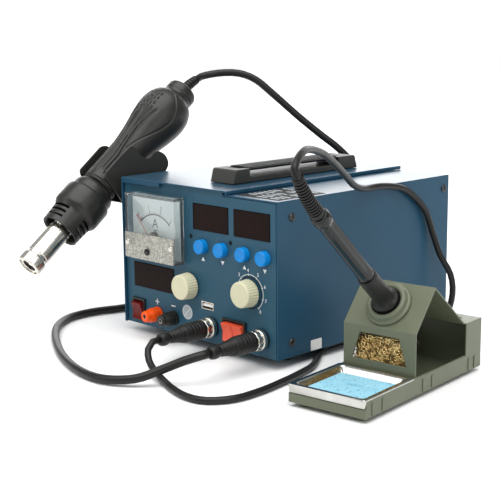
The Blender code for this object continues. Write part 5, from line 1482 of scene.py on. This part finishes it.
# %% Iron
GRIP_LINE = [
    (0.0, 0.4), (9.4, 0.4), (10.6, 1.6), (10.6, 4.0), (9.9, 4.6), (9.9, 5.4), (10.6, 6.0), (10.6, 8.6),
    (9.6, 9.5), (8.2, 11.0), (7.5, 15.0), (7.4, 40.2), (6.8, 41.0), (0.0, 41.0),
]
HANDLE_LINE = [
    (0.0, 41.3), (6.3, 41.3), (6.3, 110.6), (7.0, 112.4), (7.0, 118.0), (6.4, 120.6), (0.0, 120.9),
]
BARREL_LINE = [
    (0.0, -63.0), (0.5, -62.6), (2.2, -54.0), (2.2, -47.0), (3.6, -46.0), (3.6, -12.0), (5.4, -11.0),
    (5.4, 0.0), (0.0, 0.0),
]


def facets(angle, along):
    """Long flats on the handle between its ends."""
    ends = near(along, 80.0, 28.0, 8.0)
    return 0.75 * ends * max(0.0, math.cos(3.0 * angle)) ** 1.5


grip = turned(filled(eased(GRIP_LINE, 0.7), 2.0), 64, "Z")
make("iron_grip_sleeve", [grip], "iron", "black_rubber", IRON, ["iron_grip"])
handle = turned(filled(eased(HANDLE_LINE, 0.8), 2.0), 96, "Z", cut=facets)
make("iron_handle_body", [handle], "iron", "gloss_black", IRON, ["iron_handle"], sharp=50.0)
barrel = turned(eased(BARREL_LINE, 0.4), 40, "Z")
make("iron_barrel_tube", [barrel], "iron", "stainless", IRON, ["iron_barrel"])
print("iron pieces: 3, and its relief")

# %% [markdown]
# ## The stand
# The stand is folded from one gauge of sheet and powder coated a grey green. Its long sides have
# pairs of short pressed ribs. The iron rests in a spun ring on the sloping roof. The tray is a
# loose pressing of polished steel with a wide rolled rim.

# %% Folded sheet and pressed ribs
softened("stand_base", "stand_green", 0.45)
softened("stand_housing", "stand_green", 0.4)
RIB_SPOTS, RIB_HALF, RIB_OUT, RIB_Z = (9.0, 22.0, 76.0, 89.0, 144.0, 153.0), 1.5, 0.7, (-4.4, 5.6)
HEM_Y, HEM_Z = (60.0, 138.5), (7.6, 8.6)
ribs = []
for y in RIB_SPOTS:
    for x, way in ((0.0, -1.0), (STAND_WIDTH, 1.0)):
        outline = round_rect((y - RIB_HALF, y + RIB_HALF), RIB_Z, RIB_HALF)
        ribs.append(prism(outline, x, x + way * RIB_OUT, "X"))
make("stand_ribs", ribs, "station", "stand_green", STAND, rounding=0.3)
hem = [box(x, HEM_Y, HEM_Z) for x in ((0.2, 1.7), (STAND_WIDTH - 1.7, STAND_WIDTH - 0.2))]
make("stand_hem", hem, "station", "stand_green", STAND, rounding=0.3)
print("stand ribs:", len(ribs))

# %% Iron's ring and the hole in the rear block
FLANGE_LINE = [
    (11.5, 0.4), (18.0, 0.4), (18.0, 1.8), (17.2, 2.6), (16.4, 2.8), (15.9, 3.6), (15.3, 6.0),
    (14.2, 6.8), (12.6, 6.8), (11.5, 5.8),
]
flange = turned(eased(FLANGE_LINE, 0.6, 4), 80, "Z")
make("holder_flange", [flange], "station", "stand_green", IRON, ["iron_holder_ring"])
# A thin near-black wall inside the ring's bore: painted shade down in the well.
well_shade = turned([(11.35, 0.5), (11.45, 0.5), (11.45, 5.6), (11.35, 5.6)], 48, "Z")
make("holder_well_shade", [well_shade], "station", "label_dark", IRON)
# The hole in the rear block is a near-black disc: painted shade for the inside of the hole.
block_hole_shade = turned([(0.0, 34.02), (3.0, 34.02), (3.0, 34.08), (0.0, 34.08)], 24, "Z", (51.5, 151.0))
make("stand_block_hole_shade", [block_hole_shade], "station", "label_dark", STAND)
print("flange faces:", len(flange[1]))

# %% Sponge tray
TRAY_FRONT, TRAY_BACK = -1.2, 64.5


def tray_loop(inset, z, corner):
    """A rounded rectangle at a height, drawn in by an inset from the tray's rim."""
    x = (inset, STAND_WIDTH - inset)
    y = (inset + TRAY_FRONT, TRAY_BACK - inset)
    return [(a, b, z) for a, b in round_rect(x, y, corner, 6)]


TRAY = [
    (0.7, 2.9, 1.0), (0.2, 7.4, 1.4), (0.0, 8.4, 1.6), (0.25, 8.95, 1.8), (0.8, 9.1, 2.0), (2.6, 9.1, 2.6),
    (3.6, 8.9, 3.2), (4.3, 8.2, 3.6), (6.4, 1.9, 4.6), (7.2, 1.05, 5.0), (9.0, 0.9, 5.4),
]
inside = [tray_loop(*row) for row in TRAY]
under = [tray_loop(row[0] + 0.45, row[1] - 0.4, row[2]) for row in TRAY[::-1]]
loops = [*inside, *under]
tray_verts, tray_faces = lofted(loops)
count = len(inside[0])
floor_top = tuple(range((len(inside) - 1) * count, len(inside) * count))
floor_low = tuple(range(len(inside) * count, (len(inside) + 1) * count))
bridge = len(inside) - 1
skin = [f for f in tray_faces if not (f[0] // count == bridge and f[3] // count == bridge + 1)]
tray = (tray_verts, [*skin, floor_top, floor_low])
make("tray_pan", [tray], "sponge_tray", "stainless", STAND, ["sponge_tray"], sharp=50.0)
print("tray loops:", len(loops))


# %% Foam of the sponge
SPONGE_LENGTH, SPONGE_WIDTH, SPONGE_LOW, SPONGE_TOP = 49.4, 41.4, 1.25, 5.65
SPONGE_MIDDLE = (STAND_WIDTH / 2, 33.25)
PORE_COUNT, SOFT_EDGE, EDGE_DROP = 210, 1.4, 0.9
OVAL, OVAL_EDGE, OVAL_DEPTH = (6.5, 2.3), 1.25, 2.8


def pore_list():
    """Places and sizes of the big pores."""
    rnd = random.Random(7)
    pores = []
    for _ in range(PORE_COUNT):
        x, y = rnd.uniform(-23, 23), rnd.uniform(-19, 19)
        pores.append((x, y, rnd.uniform(0.25, 1.15) ** 1.6))
    return pores


def foam_height(x, y, pores):
    """Height of the sponge's top at a place measured from its middle."""
    edge = min(SPONGE_LENGTH / 2 - abs(x), SPONGE_WIDTH / 2 - abs(y))
    z = SPONGE_TOP - EDGE_DROP * max(0.0, 1.0 - edge / SOFT_EDGE) ** 2
    for px, py, size in pores:
        gap = math.hypot(x - px, (y - py) * 1.3)
        if gap < size:
            z -= 1.1 * size * (1.0 - (gap / size) ** 2)
    oval = (x / OVAL[0]) ** 2 + (y / OVAL[1]) ** 2
    if oval < OVAL_EDGE:
        z -= OVAL_DEPTH * min(1.0, (OVAL_EDGE - oval) / 0.3)
    return max(z, SPONGE_LOW + 0.3)


print("pores:", len(pore_list()))


# %% Sponge
def sponge_block():
    """A block of foam with a soft edge, big open pores and a deep oval mark in its middle."""
    nx, ny = 150, 126
    pores = pore_list()
    cx, cy = SPONGE_MIDDLE
    verts, faces = [], []
    for j in range(ny + 1):
        for i in range(nx + 1):
            x, y = SPONGE_LENGTH * (i / nx - 0.5), SPONGE_WIDTH * (j / ny - 0.5)
            verts.append((cx + x, cy + y, foam_height(x, y, pores)))
    for j in range(ny):
        for i in range(nx):
            a = j * (nx + 1) + i
            faces.append((a, a + 1, a + nx + 2, a + nx + 1))
    rim = list(range(nx + 1))
    rim += [j * (nx + 1) + nx for j in range(1, ny + 1)]
    rim += [ny * (nx + 1) + i for i in range(nx - 1, -1, -1)]
    rim += [j * (nx + 1) for j in range(ny - 1, 0, -1)]
    start = len(verts)
    verts += [(verts[k][0], verts[k][1], SPONGE_LOW) for k in rim]
    for k in range(len(rim)):
        j = (k + 1) % len(rim)
        faces.append((rim[k], start + k, start + j, rim[j]))
    faces.append(tuple(range(start, start + len(rim))))
    return verts, faces


sponge = make("sponge_pad", [sponge_block()], "sponge", "sponge_blue", STAND, ["sponge"], sharp=80.0)
print("sponge faces:", len(sponge.data.polygons))

# %% [markdown]
# ## Brass wool
# Brass wool is a nest of curled shavings. Each strand here is a short run of loose helix in a
# random direction, kept inside the wool's own space behind the window. Curves with a thin bevel
# give hundreds of small highlights, which a bumpy block can't. A dark brown block inside the
# strands stands in for the denser wool further in, and its dark colour is painted shade between
# the strands.

# %% Brass strands
WOOL_FRONT, WOOL_BACK, WOOL_TOP, WOOL_LOW = 68.9, 85.0, 33.2, -3.2
WOOL_SIDE, TAPER_START, TAPER_DEPTH, TAPER = 7.0, 68.5, 17.0, 10.0
STRAND_COUNT, STRAND_RADIUS, TURN_STEPS = 460, 0.21, 11


def inside_wool(spot, margin):
    """The nearest place in the wool's tapered space, a margin in from its walls."""
    y = max(WOOL_FRONT + margin, min(WOOL_BACK - margin, spot.y))
    taper = TAPER * (y - TAPER_START) / TAPER_DEPTH
    x = max(WOOL_SIDE + taper + margin, min(STAND_WIDTH - WOOL_SIDE - taper - margin, spot.x))
    return Vector((x, y, max(WOOL_LOW + margin, min(WOOL_TOP - margin, spot.z))))


def wool_strands(count, seed):
    """Points of loose helical curls."""
    rnd = random.Random(seed)
    strands = []
    for _ in range(count):
        deep = rnd.random() ** 1.8
        start = Vector((rnd.uniform(10, 56), WOOL_FRONT + deep * 13.0 + 1.0, rnd.uniform(6.0, 32.0)))
        way = Vector((rnd.uniform(-1, 1), rnd.uniform(-0.3, 0.3), rnd.uniform(-1, 1))).normalized()
        side = way.orthogonal().normalized()
        other = way.cross(side)
        radius, pitch = rnd.uniform(1.0, 2.3), rnd.uniform(0.5, 1.2)
        turns = rnd.uniform(1.5, 3.5)
        steps = int(turns * TURN_STEPS)
        points = []
        for i in range(steps + 1):
            a = math.tau * turns * i / steps + rnd.uniform(-0.12, 0.12)
            spot = start + way * (pitch * a / 2.0) + (side * math.cos(a) + other * math.sin(a)) * radius
            points.append(inside_wool(spot, 0.4))
        strands.append(points)
    return strands


curve = bpy.data.curves.new("brass_strands", "CURVE")
curve.dimensions = "3D"
curve.bevel_depth = STRAND_RADIUS * MM
curve.bevel_resolution = 0
strands = wool_strands(STRAND_COUNT, 11)
for points in strands:
    line = curve.splines.new("POLY")
    line.points.add(len(points) - 1)
    line.use_smooth = True
    for spot, point in zip(line.points, points):
        spot.co = (*(STAND @ point), 1.0)
wool = bpy.data.objects.new("brass_strands", curve)
bpy.context.collection.objects.link(wool)
settle(wool, "station", "brass", ["brass_wool"])
# A dark brown block inside the strands: painted shade for the depth of the wool.
painted_shade_core = prism([(10.5, 71.0), (55.5, 71.0), (47.0, 84.0), (19.0, 84.0)], WOOL_LOW, 31.0, "Z")
make("brass_shade_core", [painted_shade_core], "station", "brass_painted_shade", STAND)
print("brass strands:", len(strands))

# %% [markdown]
# ## Everything that is left
# The few solids that no piece has replaced keep their own mesh, with the finish that their slot
# names. The front panel is one of them. The others are inside the case or the gun, or on the
# back, where the inlet for the mains cord is.

# %% Finishes for the remaining solids
kept = []
for name, node in frame["nodes"].items():
    if node.hide_render:
        continue
    kept.append(name)
    subparts = frame["record"]["subparts"]
    slot_name = next(row["material_slot"] for row in subparts if row["node"] == name)
    node.data.materials.clear()
    node.data.materials.append(FINISHES[slot_name].material)
print("solids kept with a better finish:", ", ".join(kept))

# %% [markdown]
# ## Floor and light
# The floor is a wide white sheet that is lit a little past white, so that it has no visible far edge.
# A wide soft sun from above does that. The surround is white to the eye and dimmer as a light,
# which keeps the blacks deep. A wide glow behind the case is mirrored in its flat top, and two
# small soft lamps, at the front left and on the right, draw highlights on the metal and the gloss.

# %% Floor
floor_mesh = bpy.data.meshes.new("floor")
floor_mesh.from_pydata([(-4, -4, 0), (4, -4, 0), (4, 4, 0), (-4, 4, 0)], [], [(0, 1, 2, 3)])
floor = bpy.data.objects.new("floor", floor_mesh)
bpy.context.collection.objects.link(floor)
pale = Finish("pale_floor")
pale.set({"Base Color": between(pale, noise(pale, 2.0), (0.86, 0.86, 0.86), (0.88, 0.88, 0.88))})
pale.set({"Roughness": 0.9, "Specular IOR Level": 0.1})
floor.data.materials.append(pale.material)
floor.location.z = -0.0004
floor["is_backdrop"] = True
print("floor", round(floor.dimensions.x), "m wide")

# %% Surround
SURROUND_LIGHT, SURROUND_SEEN = 0.42, 1.0
world = bpy.data.worlds.new("studio")
bpy.context.scene.world = world
world.use_nodes = True
backdrop = world.node_tree.nodes["Background"]
backdrop.inputs["Color"].default_value = (1.0, 1.0, 1.0, 1.0)
sight = world.node_tree.nodes.new("ShaderNodeLightPath")
level = world.node_tree.nodes.new("ShaderNodeMapRange")
level.inputs["To Min"].default_value = SURROUND_LIGHT
level.inputs["To Max"].default_value = SURROUND_SEEN
world.node_tree.links.new(sight.outputs["Is Camera Ray"], level.inputs["Value"])
world.node_tree.links.new(level.outputs["Result"], backdrop.inputs["Strength"])
print("the surround lights with", SURROUND_LIGHT, "and is seen as", SURROUND_SEEN)


# %% Sun and lamps
def lamp(name, spot, aim, width, height, watts):
    """A large soft light at a spot, facing an aim point, which the camera doesn't see."""
    light = bpy.data.lights.new(name, "AREA")
    light.shape = "RECTANGLE"
    light.size = width
    light.size_y = height
    light.energy = watts
    item = bpy.data.objects.new(name, light)
    item.location = spot
    item.rotation_euler = (Vector(aim) - Vector(spot)).to_track_quat("-Z", "Y").to_euler()
    item.visible_camera = False
    bpy.context.collection.objects.link(item)


sun = bpy.data.lights.new("sun", "SUN")
sun.energy = 3.4
sun.angle = math.radians(70.0)
sky = bpy.data.objects.new("sun", sun)
sky.rotation_euler = (math.radians(12.0), math.radians(10.0), 0.0)
bpy.context.collection.objects.link(sky)
lamp("back_glow", (-1.9, 2.3, 1.15), (0.0, 0.0, 0.1), 4.4, 1.5, 46.0)
lamp("front_left", (-0.9, -1.5, 1.0), (0.0, 0.0, 0.08), 0.8, 1.0, 5.0)
lamp("right_side", (1.6, -0.3, 0.8), (0.1, 0.0, 0.05), 0.5, 0.9, 4.0)
bpy.context.scene.view_settings.view_transform = "Standard"
print("a soft sun, a glow behind, and lamps at the front left and on the right")

# %% [markdown]
# ## Check and close
# The boxes of the solids and of the finished model are compared, and how far the model reaches
# past the solids' box on each side is printed in millimetres. The model has to stay inside the
# solids' box but for a few millimetres.

# %% Compare the boxes and finish
MODEL_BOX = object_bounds()
corners = zip([*MODEL_BOX[0], *MODEL_BOX[1]], [*CAD_BOX[0], *CAD_BOX[1]])
print("grown by mm:", [round((model - cad) / MM, 2) for model, cad in corners])
